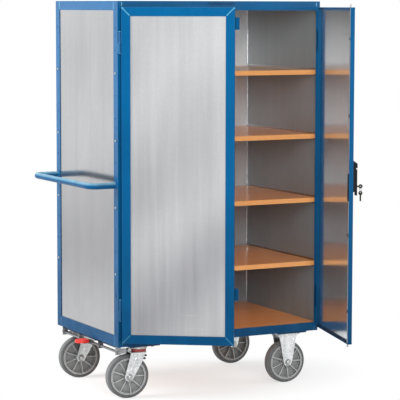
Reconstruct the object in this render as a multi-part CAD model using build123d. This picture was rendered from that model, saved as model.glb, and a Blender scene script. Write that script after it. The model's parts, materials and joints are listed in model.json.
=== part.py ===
from build123d import *
import math
import os

# Lockable two-door cabinet trolley: angle-steel frame, sheet walls, board shelves,
# two swivel castors with a foot brake at the handle end, two fixed castors at the other.
# Millimetres. The origin is on the floor under the middle of the cabinet, +Z is up,
# -X is the push-handle end and -Y is the door side.

# Cabinet frame
cabinet_length = 1040.0
cabinet_depth = 696.0
cabinet_height = 1800.0
frame_gauge = 3.0
post_end_flange = 45.0
post_face_flange = 20.0
rail_height = 40.0
rail_flange = 28.0
base_end_rail_height = 50.0
corner_radius = 2.0

# Sheet walls and roof
sheet_gauge = 1.5
roof_gauge = 2.0
roof_setback = 1.0
panel_clearance = 0.5

# Row of holes in the end flange of every post
hole_pitch = 100.0
first_hole_rise = 230.0
top_hole_drop = 110.0
hole_inset = 25.0
screw_diameter = 6.0
screw_clearance = 0.6

# Shelves on screwed support angles
shelf_count = 4
shelf_skip_count = 1
shelf_step_count = 3
shelf_thickness = 22.0
shelf_rise = 2.0
shelf_end_gap = 4.5
shelf_edge_gap = 9.0
shelf_edge_radius = 1.5
support_height = 32.0
support_ledge = 24.0
support_gauge = 2.5
support_end_gap = 6.0
screw_head_diameter = 12.0
screw_head_height = 3.4
nut_width = 10.0
nut_thickness = 3.2
screw_tip = 0.8

# Floor board on cross members
board_thickness = 22.0
board_clearance = 1.5
beam_width = 150.0
beam_gauge = 6.0
beam_rib_gauge = 4.0
bearer_width = 60.0

# Push handle
handle_tube = 28.0
handle_wall = 2.0
handle_reach = 122.0
handle_bend = 42.0
handle_skip_count = 5
handle_plug = 22.0
handle_bolt_diameter = 8.0
handle_bolt_depth = 15.0
handle_bolt_head = 5.3
handle_bolt_width = 13.0

# Hinges
running_clearance = 0.05
hinge_inset = 8.0
hinge_standoff = 8.0
hinge_radius = 7.0
hinge_length = 95.0
hinge_gap = 0.6
hinge_pin_diameter = 8.0
hinge_pin_cover = 3.0
hinge_lug = 10.0
upper_hinge_drop = 156.0
lower_hinge_rise = 148.0

# Doors
door_edge_gap = 8.0
door_middle_gap = 2.0
door_margin = 22.0
door_top_margin = 27.0
door_face_gap = 1.0
door_depth = 20.0
door_flange = 40.0
door_sheet_gap = 0.5
left_door_angle = 34.0
right_door_angle = 75.4
tab_reach = 18.0
tab_height = 55.0
tab_gauge = 3.0
tab_gap = 1.0
upper_tab_drop = 71.0
lower_tab_rise = 229.0

# Locking rods and their keepers
rod_diameter = 8.0
rod_distance = 27.0
rod_depth = 12.0
rod_proud = 15.0
rod_throw = 14.0
rod_hole_clearance = 0.4
keeper_width = 126.0
keeper_gauge = 3.0
keeper_height = 14.0
keeper_reach = 20.0
keeper_gap = 2.0
guide_size = 16.0
guide_height = 12.0
guide_cover = 2.0
guide_rises = (148.0, 488.0)
guide_drops = (478.0, 138.0)

# Lock: plate, turning hub with cam, lifting lever, key cylinder and keys
hub_height = 1078.0
lock_plate_width = 28.0
lock_plate_thickness = 4.0
lock_plate_drop = 124.0
lock_plate_rise = 20.0
spindle_diameter = 14.0
spindle_hole_clearance = 1.0
cam_diameter = 30.0
cam_thickness = 2.5
cam_gap = 1.0
cam_pin_diameter = 5.0
foot_thickness = 1.8
foot_gap = 0.5
foot_height = 16.0
foot_web = 8.0
foot_border = 4.0
slot_clearance = 0.5
lever_width = 26.0
lever_thickness = 18.5
lever_gap = 0.5
lever_length = 116.0
lever_hub_gap = 6.0
hub_block_rise = 18.0
hub_block_drop = 16.0
hub_bevel = 14.0
lever_pin_drop = 12.0
lever_pin_diameter = 4.0
tongue_width = 10.0
tongue_side_gap = 0.4
tongue_radius = 5.0
finger_notch_height = 16.0
finger_lip = 6.0
lock_cover_drop = 42.0
lock_cover_height = 122.0
lock_cover_width = 14.0
lock_cover_wall = 1.5
lock_cover_inset = 2.0
cylinder_diameter = 16.0
cylinder_rise = 40.0
key_thickness = 2.0
key_blade = 7.0
key_insertion = 9.0
key_slot_clearance = 0.1
key_bow_diameter = 19.0
key_bow_standoff = 18.0
key_hole_diameter = 5.0
key_ring_radius = 11.5
key_ring_wire = 1.8
key_hang_gap = 0.3
spare_key_length = 46.0

# Castors
wheel_diameter = 200.0
wheel_width = 40.0
tyre_thickness = 16.0
tyre_shoulder = 9.0
rim_ring = 7.0
rim_lip = 1.5
rim_web = 8.0
rim_rib_count = 9
rim_rib_gauge = 4.5
rim_rib_setback = 5.0
hub_diameter = 42.0
hub_length = 60.0
hub_side_gap = 1.0
axle_diameter = 12.0
axle_head_width = 19.0
axle_head_height = 7.0
castor_inset = 135.0
castor_plate_length = 140.0
castor_plate_width = 110.0
castor_plate_gauge = 4.0
castor_plate_radius = 8.0
castor_bolt_span_x = 105.0
castor_bolt_span_y = 86.0
castor_bolt_diameter = 8.0
castor_bolt_clearance = 1.0
castor_bolt_head = 5.3
castor_nut = 6.5
castor_bolt_tip = 2.0
castor_bolt_width = 13.0
castor_nut_gap = 1.0
fork_gauge = 4.0
fork_crown_gap = 9.0
fork_crown_gauge = 4.0
fork_top_back = 45.0
fork_top_front = 28.0
fork_shoulder_drop = 37.0
fork_shoulder_inset = 16.0
leg_foot_half_width = 22.5
leg_foot_drop = 15.0
leg_foot_bevel = 8.0
leg_foot_radius = 5.0
castor_trail = 54.0
near_castor_angle = 5.0
far_castor_angle = 7.0
race_diameter = 80.0
race_height = 12.5
seal_diameter = 75.0
seal_bore = 50.0
seal_height = 14.0
seal_gap = 0.5
kingpin_diameter = 12.0
kingpin_collar_diameter = 22.0
kingpin_collar_height = 7.0
kingpin_gap = 0.4
bracket_top_half_width = 62.0
bracket_neck_half_width = 44.0
bracket_neck_drop = 22.0
bracket_neck_radius = 18.0

# Foot brake: cross shaft with pedal, and a shoe on each swivel fork
brake_inset = 20.0
brake_drop = 30.0
brake_shaft_diameter = 12.0
brake_shaft_length = 650.0
brake_bracket_gauge = 4.0
brake_bracket_width = 26.0
brake_bracket_drop = 12.0
brake_bracket_spots = (-300.0, -110.0, 110.0, 300.0)
brake_bar_gauge = 8.0
brake_bar_height = 12.0
brake_bar_gap = 2.0
crank_reach = 26.0
crank_gauge = 6.0
crank_height = 13.0
crank_spot = 285.0
pedal_diameter = 68.0
pedal_thickness = 13.0
pedal_reach = 44.0
pedal_arm_gauge = 5.0
pedal_hub_diameter = 22.0
pedal_hub_length = 32.0
shoe_pivot_back = 48.0
shoe_pivot_rise = 8.0
shoe_pin_diameter = 6.0
shoe_hub_radius = 6.0
shoe_width = 20.0
shoe_side_gap = 0.4
shoe_ear_gauge = 4.0
shoe_ear_gap = 1.0
shoe_back = 86.0
shoe_front = 60.0
shoe_top_rise = 13.0
shoe_tread_gap = 6.0

# Places worked out from the sizes above
wheel_radius = wheel_diameter / 2
fork_crown_height = wheel_diameter + fork_crown_gap + fork_crown_gauge
race_bottom = fork_crown_height + seal_height + seal_gap
castor_plate_bottom = race_bottom + race_height
castor_plate_top = castor_plate_bottom + castor_plate_gauge
beam_bottom = castor_plate_top
base_height = beam_bottom + beam_gauge
half_length = cabinet_length / 2
half_depth = cabinet_depth / 2
frame_top = cabinet_height - roof_gauge
post_inner_x = half_length - frame_gauge
post_inner_y = half_depth - frame_gauge
panel_inner_x = post_inner_x - sheet_gauge
panel_inner_y = post_inner_y - sheet_gauge
rail_half_length = half_length - post_face_flange
rail_half_depth = half_depth - post_end_flange
hole_y = half_depth - hole_inset
first_hole_height = base_height + first_hole_rise
hole_count = 1 + int((frame_top - top_hole_drop - first_hole_height) / hole_pitch)
hole_heights = [first_hole_height + hole_pitch * i for i in range(hole_count)]
shelf_heights = [hole_heights[shelf_skip_count + shelf_step_count * i] for i in range(shelf_count)]
handle_height = hole_heights[handle_skip_count]
floor_gauge_top = base_height + frame_gauge
board_bottom = base_height + rail_height - board_thickness

hinge_x = half_length - hinge_inset
hinge_y = -half_depth - hinge_standoff
door_hinge_edge = hinge_x - door_edge_gap
door_free_edge = door_middle_gap / 2
door_bottom = base_height + door_margin
door_top = cabinet_height - door_top_margin
door_inner_y = -half_depth - door_face_gap
door_outer_y = door_inner_y - door_depth
door_sheet_y = door_outer_y + frame_gauge
door_tray_y = door_sheet_y + sheet_gauge
hinge_heights = (door_bottom + lower_hinge_rise, door_top - upper_hinge_drop)
tab_heights = (door_bottom + lower_tab_rise, door_top - upper_tab_drop)
guide_heights = [door_bottom + rise for rise in guide_rises] + [door_top - drop for drop in guide_drops]

rod_x = rod_distance
rod_y = door_outer_y + rod_depth
rod_radius = rod_diameter / 2
cam_radius = rod_throw / (2 * math.sin(math.pi / 4))
cam_y = door_tray_y + cam_gap
upper_foot_y = cam_y + cam_thickness + foot_gap
lower_foot_y = upper_foot_y + foot_thickness + foot_gap
lock_plate_bottom = hub_height - lock_plate_drop
lock_plate_top = hub_height + lock_plate_rise
hub_block_bottom = hub_height - hub_block_drop
hub_block_top = hub_height + hub_block_rise
lever_pin_height = hub_height - lever_pin_drop
lever_top = hub_block_bottom - lever_hub_gap
lever_bottom = lever_top - lever_length
cylinder_height = lever_bottom + cylinder_rise
lock_cover_top = hub_height - lock_cover_drop
lock_cover_bottom = lock_cover_top - lock_cover_height
lever_inner_y = door_outer_y - lock_plate_thickness - lever_gap
lever_outer_y = lever_inner_y - lever_thickness
lever_pin_y = (lever_inner_y + lever_outer_y) / 2
key_bow_y = lever_outer_y - key_bow_standoff
key_ring_y = key_bow_y
key_hang_drop = (key_hole_diameter - key_ring_wire) / 2 - key_hang_gap
key_hang_height = cylinder_height - key_hang_drop

castor_x = half_length - castor_inset
castor_nut_reach = castor_bolt_width / math.sqrt(3) + castor_nut_gap
castor_y = half_depth - rail_flange - castor_nut_reach - castor_bolt_span_y / 2
rim_radius = wheel_radius - tyre_thickness
fork_inner = hub_length / 2 + hub_side_gap
fork_outer = fork_inner + fork_gauge
brake_x = -half_length + brake_inset
brake_z = base_height - brake_drop

lower, middle, upper = Align.MIN, Align.CENTER, Align.MAX


# Building blocks


def block(low, high):
    """Box between two opposite corners."""
    size = [b - a for a, b in zip(low, high)]
    return Pos(*low) * Box(*size, align=(lower, lower, lower))


def round_bar(start, end, diameter):
    """Cylinder between two points."""
    line = Vector(*end) - Vector(*start)
    bar = Cylinder(diameter / 2, line.length, align=(middle, middle, lower))
    return Plane(origin=start, z_dir=line.normalized()) * bar


def hex_bar(start, end, width):
    """Hexagonal bar between two points, by its width across flats."""
    line = Vector(*end) - Vector(*start)
    face = RegularPolygon(width / 2, 6, major_radius=False)
    return Plane(origin=start, z_dir=line.normalized()) * extrude(face, line.length)


def angle_bar(start, along, first_leg, first_size, second_size, gauge, length):
    """L-section bar with its outer corner on the start point; the second leg is along x first."""
    outline = Polyline(
        (0, 0),
        (first_size, 0),
        (first_size, gauge),
        (gauge, gauge),
        (gauge, second_size),
        (0, second_size),
        close=True,
    )
    bar = extrude(make_face(outline), length)
    corner = bar.edges().filter_by(Axis.Z).sort_by_distance((0, 0, length / 2))[0]
    bar = fillet(corner, min(corner_radius, 0.8 * gauge))
    return Plane(origin=start, x_dir=first_leg, z_dir=along) * bar


def upright_plate(outline, high_y, gauge):
    """Plate drawn as x and z, its +Y face at high_y."""
    return Plane(origin=(0, high_y, 0), x_dir=(1, 0, 0), z_dir=(0, -1, 0)) * extrude(outline, gauge)


def mirrored_x(shape):
    """Copy on the other side of the cabinet's middle plane."""
    return mirror(shape, about=Plane.YZ)


def swung(shape, side):
    """Door piece turned from its closed place to its stored opening angle."""
    axis = Axis((side * hinge_x, hinge_y, 0), (0, 0, 1))
    angle = right_door_angle if side > 0 else -left_door_angle
    return shape.rotate(axis, angle)


def save(name, shapes):
    """Write one node from one solid or a list of solids."""
    pieces = shapes if isinstance(shapes, list) else [shapes]
    solids = [solid for piece in pieces for solid in piece.solids()]
    node = solids[0] if len(solids) == 1 else Compound(solids)
    export_step(node, f"parts/{name}.step")


# Frame


def end_holes(side, diameter, heights):
    """Drills through the end wall at both posts of one end."""
    reach = 2 * (frame_gauge + sheet_gauge + support_gauge)
    drills = []
    for height in heights:
        for y in (-hole_y, hole_y):
            inner = (side * (half_length - reach), y, height)
            outer = (side * (half_length + reach), y, height)
            drills.append(round_bar(inner, outer, diameter))
    return drills


def wall_drills(side):
    """All holes in one end wall; the handle's pair takes its larger bolts."""
    drills = end_holes(side, screw_diameter + screw_clearance, hole_heights)
    if side < 0:
        drills += end_holes(side, handle_bolt_diameter + screw_clearance, [handle_height])
    return drills


def corner_posts():
    posts = []
    height = frame_top - base_height
    for side in (-1, 1):
        for face in (-1, 1):
            turn = side * face
            start_z = base_height if turn > 0 else frame_top
            post = angle_bar(
                (side * half_length, face * half_depth, start_z),
                (0, 0, turn),
                (-side, 0, 0),
                post_face_flange,
                post_end_flange,
                frame_gauge,
                height,
            )
            posts.append(post - wall_drills(side))
    return posts


def rail_ring(corner_z, leg, long_height, end_height):
    """Four rails between the posts, with their outer corner at one height and one leg up or down."""
    rails = []
    for turn in (-1, 1):
        start = (turn * leg * rail_half_length, -turn * half_depth, corner_z)
        along = (-turn * leg, 0, 0)
        span = 2 * rail_half_length
        rails.append(angle_bar(start, along, (0, 0, leg), long_height, rail_flange, frame_gauge, span))
        start = (-turn * half_length, -turn * leg * rail_half_depth, corner_z)
        along = (0, turn * leg, 0)
        span = 2 * rail_half_depth
        rails.append(angle_bar(start, along, (0, 0, leg), end_height, rail_flange, frame_gauge, span))
    return rails


def base_rails():
    return rail_ring(base_height, 1, rail_height, base_end_rail_height)


def top_rails():
    return rail_ring(frame_top, -1, rail_height, rail_height)


def roof_panel():
    x = half_length - roof_setback
    y = half_depth - roof_setback
    return block((-x, -y, frame_top), (x, y, cabinet_height))


def end_panel(side):
    front = -post_inner_y + panel_clearance
    back = panel_inner_y - panel_clearance
    top = frame_top - frame_gauge - panel_clearance
    sheet = block((panel_inner_x, front, floor_gauge_top), (post_inner_x, back, top))
    if side < 0:
        sheet = mirrored_x(sheet)
    return sheet - wall_drills(side)


def back_panel():
    x = panel_inner_x - panel_clearance
    top = frame_top - frame_gauge - panel_clearance
    return block((-x, panel_inner_y, floor_gauge_top), (x, post_inner_y, top))


def castor_beam(side):
    """Plate across the underside with two ribs that carry the floor board."""
    half = beam_width / 2
    plate_y = half_depth - frame_gauge
    rib_y = half_depth - rail_flange - panel_clearance
    beam = block((-half, -plate_y, beam_bottom), (half, plate_y, base_height))
    for edge in (-half, half - beam_rib_gauge):
        beam += block((edge, -rib_y, base_height), (edge + beam_rib_gauge, rib_y, board_bottom))
    beam = Pos(side * castor_x, 0, 0) * beam
    return beam - castor_drills(side)


def middle_bearer():
    half = bearer_width / 2
    y = half_depth - rail_flange
    web = block((-half, -y, base_height), (half, y, floor_gauge_top))
    for edge in (-half, half - frame_gauge):
        web += block((edge, -y, floor_gauge_top), (edge + frame_gauge, y, board_bottom))
    return web


def brake_bars():
    """Flat bars under the end rail, from one bracket of the brake shaft to the next."""
    bars = []
    trim = brake_bracket_gauge / 2 + brake_bar_gap
    for start, end in zip(brake_bracket_spots, brake_bracket_spots[1:]):
        low = (brake_x - brake_bar_gauge / 2, start + trim, base_height - brake_bar_height)
        bars.append(block(low, (brake_x + brake_bar_gauge / 2, end - trim, base_height)))
    return bars


def cross_members():
    return [castor_beam(-1), middle_bearer(), castor_beam(1)] + brake_bars()


# Shelves


def floor_board():
    x = panel_inner_x - board_clearance
    front = -post_inner_y + board_clearance
    back = panel_inner_y - board_clearance
    return block((-x, front, board_bottom), (x, back, board_bottom + board_thickness))


def shelf(height):
    x = panel_inner_x - support_gauge - shelf_end_gap
    front = -post_inner_y + shelf_edge_gap
    back = panel_inner_y - shelf_edge_gap
    top = height + shelf_rise
    board = block((-x, front, top - shelf_thickness), (x, back, top))
    edges = board.edges().filter_by(Axis.X).group_by(Axis.Y)[0]
    return fillet(edges, shelf_edge_radius)


def shelf_supports():
    """Angles under both ends of every shelf, screwed to the posts."""
    supports = []
    reach = panel_inner_y - support_end_gap
    for height in shelf_heights:
        corner_z = height + shelf_rise - shelf_thickness - support_gauge
        for side in (-1, 1):
            bar = angle_bar(
                (side * panel_inner_x, side * reach, corner_z),
                (0, -side, 0),
                (0, 0, 1),
                support_height,
                support_ledge,
                support_gauge,
                2 * reach,
            )
            drills = end_holes(side, screw_diameter + screw_clearance, [height])
            supports.append(bar - drills)
    return supports


def screw_places():
    return [(side, y, height) for height in shelf_heights for side in (-1, 1) for y in (-hole_y, hole_y)]


def shelf_screw(side, y, height):
    """Dome-headed screw from outside the post to just past its nut."""
    face = side * half_length
    grip = frame_gauge + sheet_gauge + support_gauge + nut_thickness + screw_tip
    head = round_bar((face, y, height), (face + side * screw_head_height, y, height), screw_head_diameter)
    rim = head.edges().filter_by(GeomType.CIRCLE).sort_by(lambda edge: side * edge.center().X)[-1]
    head = fillet(rim, 0.6 * screw_head_height)
    shank = round_bar((face, y, height), (face - side * grip, y, height), screw_diameter)
    return head + shank


def shelf_nut(side, y, height):
    start = side * (panel_inner_x - support_gauge)
    nut = hex_bar((start, y, height), (start - side * nut_thickness, y, height), nut_width)
    bore = round_bar(
        (start + side, y, height),
        (start - side * (nut_thickness + 1), y, height),
        screw_diameter + 2 * running_clearance,
    )
    return nut - bore


# Push handle


def handle_path(end_inset):
    face = -half_length - end_inset
    tip = -half_length - handle_reach
    return FilletPolyline(
        (face, -hole_y, handle_height),
        (tip, -hole_y, handle_height),
        (tip, hole_y, handle_height),
        (face, hole_y, handle_height),
        radius=handle_bend,
    )


def swept_tube(path, diameter):
    start = path @ 0
    return sweep(Plane(origin=start, z_dir=path % 0) * Circle(diameter / 2), path)


def push_handle():
    """Bent tube with solid threaded ends against the posts."""
    tube = swept_tube(handle_path(0), handle_tube)
    tube -= swept_tube(handle_path(handle_plug), handle_tube - 2 * handle_wall)
    bore = handle_bolt_diameter + 2 * running_clearance
    for y in (-hole_y, hole_y):
        start = (-half_length + 1, y, handle_height)
        end = (-half_length - handle_bolt_depth - 1, y, handle_height)
        tube -= round_bar(start, end, bore)
    return tube


def handle_bolt(y):
    head_face = -panel_inner_x
    head = hex_bar(
        (head_face, y, handle_height),
        (head_face + handle_bolt_head, y, handle_height),
        handle_bolt_width,
    )
    end = (-half_length - handle_bolt_depth, y, handle_height)
    return head + round_bar((head_face, y, handle_height), end, handle_bolt_diameter)


# Hinges


def frame_knuckle(side, height):
    """Lower hinge half with the lug that is welded to the post."""
    x = side * hinge_x
    low = height - hinge_length / 2
    high = height - hinge_gap / 2
    half_lug = hinge_lug / 2
    knuckle = round_bar((x, hinge_y, low), (x, hinge_y, high), 2 * hinge_radius)
    knuckle += block((x - half_lug, hinge_y, low), (x + half_lug, -half_depth, high))
    return knuckle - hinge_bore(side, height)


def hinge_bore(side, height):
    x = side * hinge_x
    span = hinge_length / 2 + 1
    top = height + hinge_length / 2 - hinge_pin_cover + running_clearance
    return round_bar((x, hinge_y, height - span), (x, hinge_y, top), hinge_pin_diameter + 2 * running_clearance)


def hinge_pin(side, height):
    x = side * hinge_x
    low = height - hinge_length / 2
    high = height + hinge_length / 2 - hinge_pin_cover - hinge_gap
    return round_bar((x, hinge_y, low), (x, hinge_y, high), hinge_pin_diameter)


def door_knuckle(side, height):
    """Upper hinge half with the lug that is welded to the door's edge, door closed."""
    x = side * hinge_x
    low = height + hinge_gap / 2
    high = height + hinge_length / 2
    half_lug = hinge_lug / 2
    knuckle = round_bar((x, hinge_y, low), (x, hinge_y, high), 2 * hinge_radius)
    edge = side * door_hinge_edge
    lug_low = (min(x, edge), hinge_y - half_lug, low)
    lug_high = (max(x, edge), hinge_y + half_lug, high)
    return knuckle + block(lug_low, lug_high) - hinge_bore(side, height)


# Doors, drawn closed on the right-hand side


def door_ring():
    """Tray-shaped door frame in one piece, before it is cut at its mitres."""
    low = (door_free_edge, door_outer_y, door_bottom)
    high = (door_hinge_edge, door_inner_y, door_top)
    ring = block(low, high)
    face_edges = ring.faces().sort_by(Axis.Y)[0].edges()
    ring = fillet(face_edges, min(corner_radius, 0.8 * frame_gauge))
    ring -= block(
        (low[0] + frame_gauge, door_sheet_y, low[2] + frame_gauge),
        (high[0] - frame_gauge, door_inner_y + 1, high[2] - frame_gauge),
    )
    ring -= block(
        (low[0] + door_flange, door_outer_y - 1, low[2] + door_flange),
        (high[0] - door_flange, door_inner_y + 1, high[2] - door_flange),
    )
    return ring


def mitred(ring):
    """The four frame lengths of a door, cut at 45 degrees."""
    left, right = door_free_edge, door_hinge_edge
    low, high = door_bottom, door_top
    inner_left, inner_right = left + door_flange, right - door_flange
    inner_low, inner_high = low + door_flange, high - door_flange
    outlines = (
        ((left, low), (right, low), (inner_right, inner_low), (inner_left, inner_low)),
        ((right, low), (right, high), (inner_right, inner_high), (inner_right, inner_low)),
        ((right, high), (left, high), (inner_left, inner_high), (inner_right, inner_high)),
        ((left, high), (left, low), (inner_left, inner_low), (inner_left, inner_high)),
    )
    lengths = []
    for outline in outlines:
        wedge = make_face(Polyline(*outline, close=True))
        lengths.append(ring & upright_plate(wedge, door_inner_y + 1, door_depth + 2))
    return lengths


def door_sheet():
    inset = frame_gauge + door_sheet_gap
    low = (door_free_edge + inset, door_sheet_y, door_bottom + inset)
    high = (door_hinge_edge - inset, door_tray_y, door_top - inset)
    return block(low, high)


def left_door_frame():
    return [mirrored_x(length) for length in mitred(door_ring())]


def right_door_frame():
    """Frame with holes for the locking rods and the lock's spindle."""
    rod_hole = round_bar(
        (rod_x, rod_y, door_bottom - 1),
        (rod_x, rod_y, door_top + 1),
        rod_diameter + 2 * rod_hole_clearance,
    )
    return mitred(door_ring() - rod_hole - spindle_drill())


def right_door_sheet():
    return door_sheet() - spindle_drill()


def closing_tab(height):
    """Angle plate on the left door's free edge that the right door closes over."""
    inner = -door_free_edge - frame_gauge
    low = height - tab_height / 2
    high = height + tab_height / 2
    plate_y = door_inner_y + tab_gap
    plate = block((inner - tab_gauge, plate_y, low), (-door_free_edge + tab_reach, plate_y + tab_gauge, high))
    leg = block((inner - tab_gauge, door_tray_y + door_sheet_gap, low), (inner, plate_y, high))
    return plate + leg


# Lock


def spindle_drill():
    reach = door_depth + lock_plate_thickness
    start = (rod_x, door_outer_y - reach, hub_height)
    end = (rod_x, door_outer_y + reach, hub_height)
    return round_bar(start, end, spindle_diameter + 2 * spindle_hole_clearance)


def lock_plate():
    """Flat plate on the door's face that the lever lies on and the spindle turns in."""
    half = lock_plate_width / 2
    back, front = door_outer_y, door_outer_y - lock_plate_thickness
    plate = block((rod_x - half, front, lock_plate_bottom), (rod_x + half, back, lock_plate_top))
    plate = fillet(plate.edges().filter_by(Axis.Y), 0.25 * lock_plate_width)
    bore = round_bar(
        (rod_x, front - 1, hub_height),
        (rod_x, back + 1, hub_height),
        spindle_diameter + 2 * running_clearance,
    )
    return plate - bore


def cam_pin_places():
    """Centres of the two cam pins, 45 degrees below and above the middle."""
    step = rod_throw / 2
    return ((rod_x + step, hub_height - step), (rod_x - step, hub_height + step))


def lock_hub():
    """Hub block outside, spindle through the door, cam with two pins inside."""
    half = lever_width / 2
    outline = Polyline(
        (lever_inner_y, hub_block_bottom),
        (lever_outer_y, hub_block_bottom),
        (lever_outer_y, hub_block_top - hub_bevel),
        (lever_inner_y, hub_block_top),
        close=True,
    )
    face = Plane(origin=(rod_x - half, 0, 0), x_dir=(0, 1, 0), z_dir=(1, 0, 0)) * make_face(outline)
    hub = extrude(face, lever_width)
    slot_half = tongue_width / 2 + tongue_side_gap
    slot_top = lever_pin_height + tongue_radius + tongue_side_gap
    hub -= block(
        (rod_x - slot_half, lever_outer_y - 1, hub_block_bottom - 1),
        (rod_x + slot_half, lever_inner_y + 1, slot_top),
    )
    cam_back = cam_y + cam_thickness
    hub += round_bar((rod_x, lever_inner_y, hub_height), (rod_x, cam_back, hub_height), spindle_diameter)
    hub += round_bar((rod_x, cam_y, hub_height), (rod_x, cam_back, hub_height), cam_diameter)
    pin_ends = (lower_foot_y - foot_gap / 2, lower_foot_y + foot_thickness + foot_gap)
    for (x, z), pin_end in zip(cam_pin_places(), pin_ends):
        hub += round_bar((x, cam_y, z), (x, pin_end, z), cam_pin_diameter)
    pin_half = lever_width / 2
    hub += round_bar(
        (rod_x - pin_half, lever_pin_y, lever_pin_height),
        (rod_x + pin_half, lever_pin_y, lever_pin_height),
        lever_pin_diameter,
    )
    return hub


def lock_lever():
    """Lifting lever with a tongue on the hub's pin, a finger notch and the cylinder's bore."""
    half = lever_width / 2
    lever = block((rod_x - half, lever_outer_y, lever_bottom), (rod_x + half, lever_inner_y, lever_top))
    front_edges = lever.faces().sort_by(Axis.Y)[0].edges().filter_by(Axis.Z)
    lever = fillet(front_edges, 0.25 * lever_thickness)
    lever -= block(
        (rod_x - half - 1, lever_outer_y + finger_lip, lever_bottom - 1),
        (rod_x + half + 1, lever_inner_y + 1, lever_bottom + finger_notch_height),
    )
    tongue_half = tongue_width / 2
    tongue = round_bar(
        (rod_x - tongue_half, lever_pin_y, lever_pin_height),
        (rod_x + tongue_half, lever_pin_y, lever_pin_height),
        2 * tongue_radius,
    )
    tongue += block(
        (rod_x - tongue_half, lever_pin_y - tongue_radius, lever_top - 1),
        (rod_x + tongue_half, lever_pin_y + tongue_radius, lever_pin_height),
    )
    pin_bore = round_bar(
        (rod_x - half, lever_pin_y, lever_pin_height),
        (rod_x + half, lever_pin_y, lever_pin_height),
        lever_pin_diameter + 2 * running_clearance,
    )
    cylinder_bore = round_bar(
        (rod_x, lever_outer_y - 1, cylinder_height),
        (rod_x, lever_inner_y + 1, cylinder_height),
        cylinder_diameter + 2 * running_clearance,
    )
    return lever + tongue - pin_bore - cylinder_bore


def key_cylinder():
    plug = round_bar(
        (rod_x, lever_outer_y, cylinder_height),
        (rod_x, lever_inner_y, cylinder_height),
        cylinder_diameter,
    )
    half_slot = key_thickness / 2 + key_slot_clearance
    half_blade = key_blade / 2 + key_slot_clearance
    slot_end = lever_outer_y + key_insertion + key_slot_clearance
    return plug - block(
        (rod_x - half_slot, lever_outer_y - 1, cylinder_height - half_blade),
        (rod_x + half_slot, slot_end, cylinder_height + half_blade),
    )


def inserted_key():
    """Key pushed into the cylinder, its round bow standing upright."""
    half = key_thickness / 2
    bow = round_bar(
        (rod_x - half, key_bow_y, cylinder_height),
        (rod_x + half, key_bow_y, cylinder_height),
        key_bow_diameter,
    )
    blade = block(
        (rod_x - half, key_bow_y, cylinder_height - key_blade / 2),
        (rod_x + half, lever_outer_y + key_insertion, cylinder_height + key_blade / 2),
    )
    return bow + blade - key_hole(cylinder_height)


def key_hole(height):
    reach = key_thickness
    start = (rod_x - reach, key_bow_y, height)
    return round_bar(start, (rod_x + reach, key_bow_y, height), key_hole_diameter)


def key_ring():
    """Wire ring through both keys, hanging in the bow of the inserted one."""
    ring = Torus(key_ring_radius, key_ring_wire / 2)
    centre = (rod_x, key_ring_y, key_hang_height - key_ring_radius)
    return Plane(origin=centre, z_dir=(0, 1, 0)) * ring


def spare_key():
    """Second key, hanging on the ring with its blade down."""
    half = key_thickness / 2
    hole_z = key_hang_height - 2 * key_ring_radius - key_hang_drop
    bow_z = hole_z - key_bow_diameter / 2 + key_hole_diameter
    tip = bow_z + key_bow_diameter / 2 - spare_key_length
    key = round_bar((rod_x - half, key_bow_y, bow_z), (rod_x + half, key_bow_y, bow_z), key_bow_diameter)
    key += block(
        (rod_x - half, key_bow_y - key_blade / 2, tip),
        (rod_x + half, key_bow_y + key_blade / 2, bow_z),
    )
    return key - key_hole(hole_z)


def foot_slot(side, foot_y):
    """Slot in a rod's foot, long enough for the cam pin's sideways travel."""
    x, z = cam_pin_places()[0 if side > 0 else 1]
    half = cam_pin_diameter / 2 + slot_clearance
    near = rod_throw / 2 - half
    far = cam_radius + half
    edges = sorted((rod_x + side * near, rod_x + side * far))
    return block((edges[0], foot_y - 1, z - half), (edges[1], foot_y + foot_thickness + 1, z + half))


def rod_foot(side, foot_y, strap_end):
    """Flat foot of a rod: a slotted plate beside the spindle and a strap to the round rod."""
    z = cam_pin_places()[0 if side > 0 else 1][1]
    half_web = foot_web / 2
    far = cam_radius + cam_pin_diameter / 2 + slot_clearance + foot_border
    edges = sorted((rod_x - side * half_web, rod_x + side * far))
    low, high = z - foot_height / 2, z + foot_height / 2
    plate = block((edges[0], foot_y, low), (edges[1], foot_y + foot_thickness, high))
    plate += block(
        (rod_x - half_web, foot_y, min(low, strap_end)),
        (rod_x + half_web, foot_y + foot_thickness, max(high, strap_end)),
    )
    return plate - foot_slot(side, foot_y)


def upper_rod():
    start = hub_height + rod_throw / 2 + foot_height / 2 + foot_border
    strap_end = start + foot_height
    bar = round_bar((rod_x, rod_y, start), (rod_x, rod_y, door_top + rod_proud), rod_diameter)
    return bar + rod_foot(1, upper_foot_y, strap_end)


def lower_rod():
    start = hub_height - rod_throw / 2 - foot_height / 2 - foot_border
    strap_end = start - foot_height
    bar = round_bar((rod_x, rod_y, start), (rod_x, rod_y, door_bottom - rod_proud), rod_diameter)
    return bar + rod_foot(-1, lower_foot_y, strap_end)


def lock_cover():
    """Channel over the lower rod behind the lever."""
    half = lock_cover_width / 2
    back = door_inner_y - lock_cover_inset
    low = (rod_x - half, door_tray_y, lock_cover_bottom)
    cover = block(low, (rod_x + half, back, lock_cover_top))
    hollow_half = half - lock_cover_wall
    return cover - block(
        (rod_x - hollow_half, door_tray_y - 1, lock_cover_bottom - 1),
        (rod_x + hollow_half, back - lock_cover_wall, lock_cover_top + 1),
    )


def rod_guide(height):
    half = guide_size / 2
    back = rod_y + rod_radius + guide_cover
    low = (rod_x - half, door_tray_y, height - guide_height / 2)
    guide = block(low, (rod_x + half, back, height + guide_height / 2))
    bore = round_bar(
        (rod_x, rod_y, height - guide_height),
        (rod_x, rod_y, height + guide_height),
        rod_diameter + 2 * running_clearance,
    )
    return guide - bore


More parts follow.
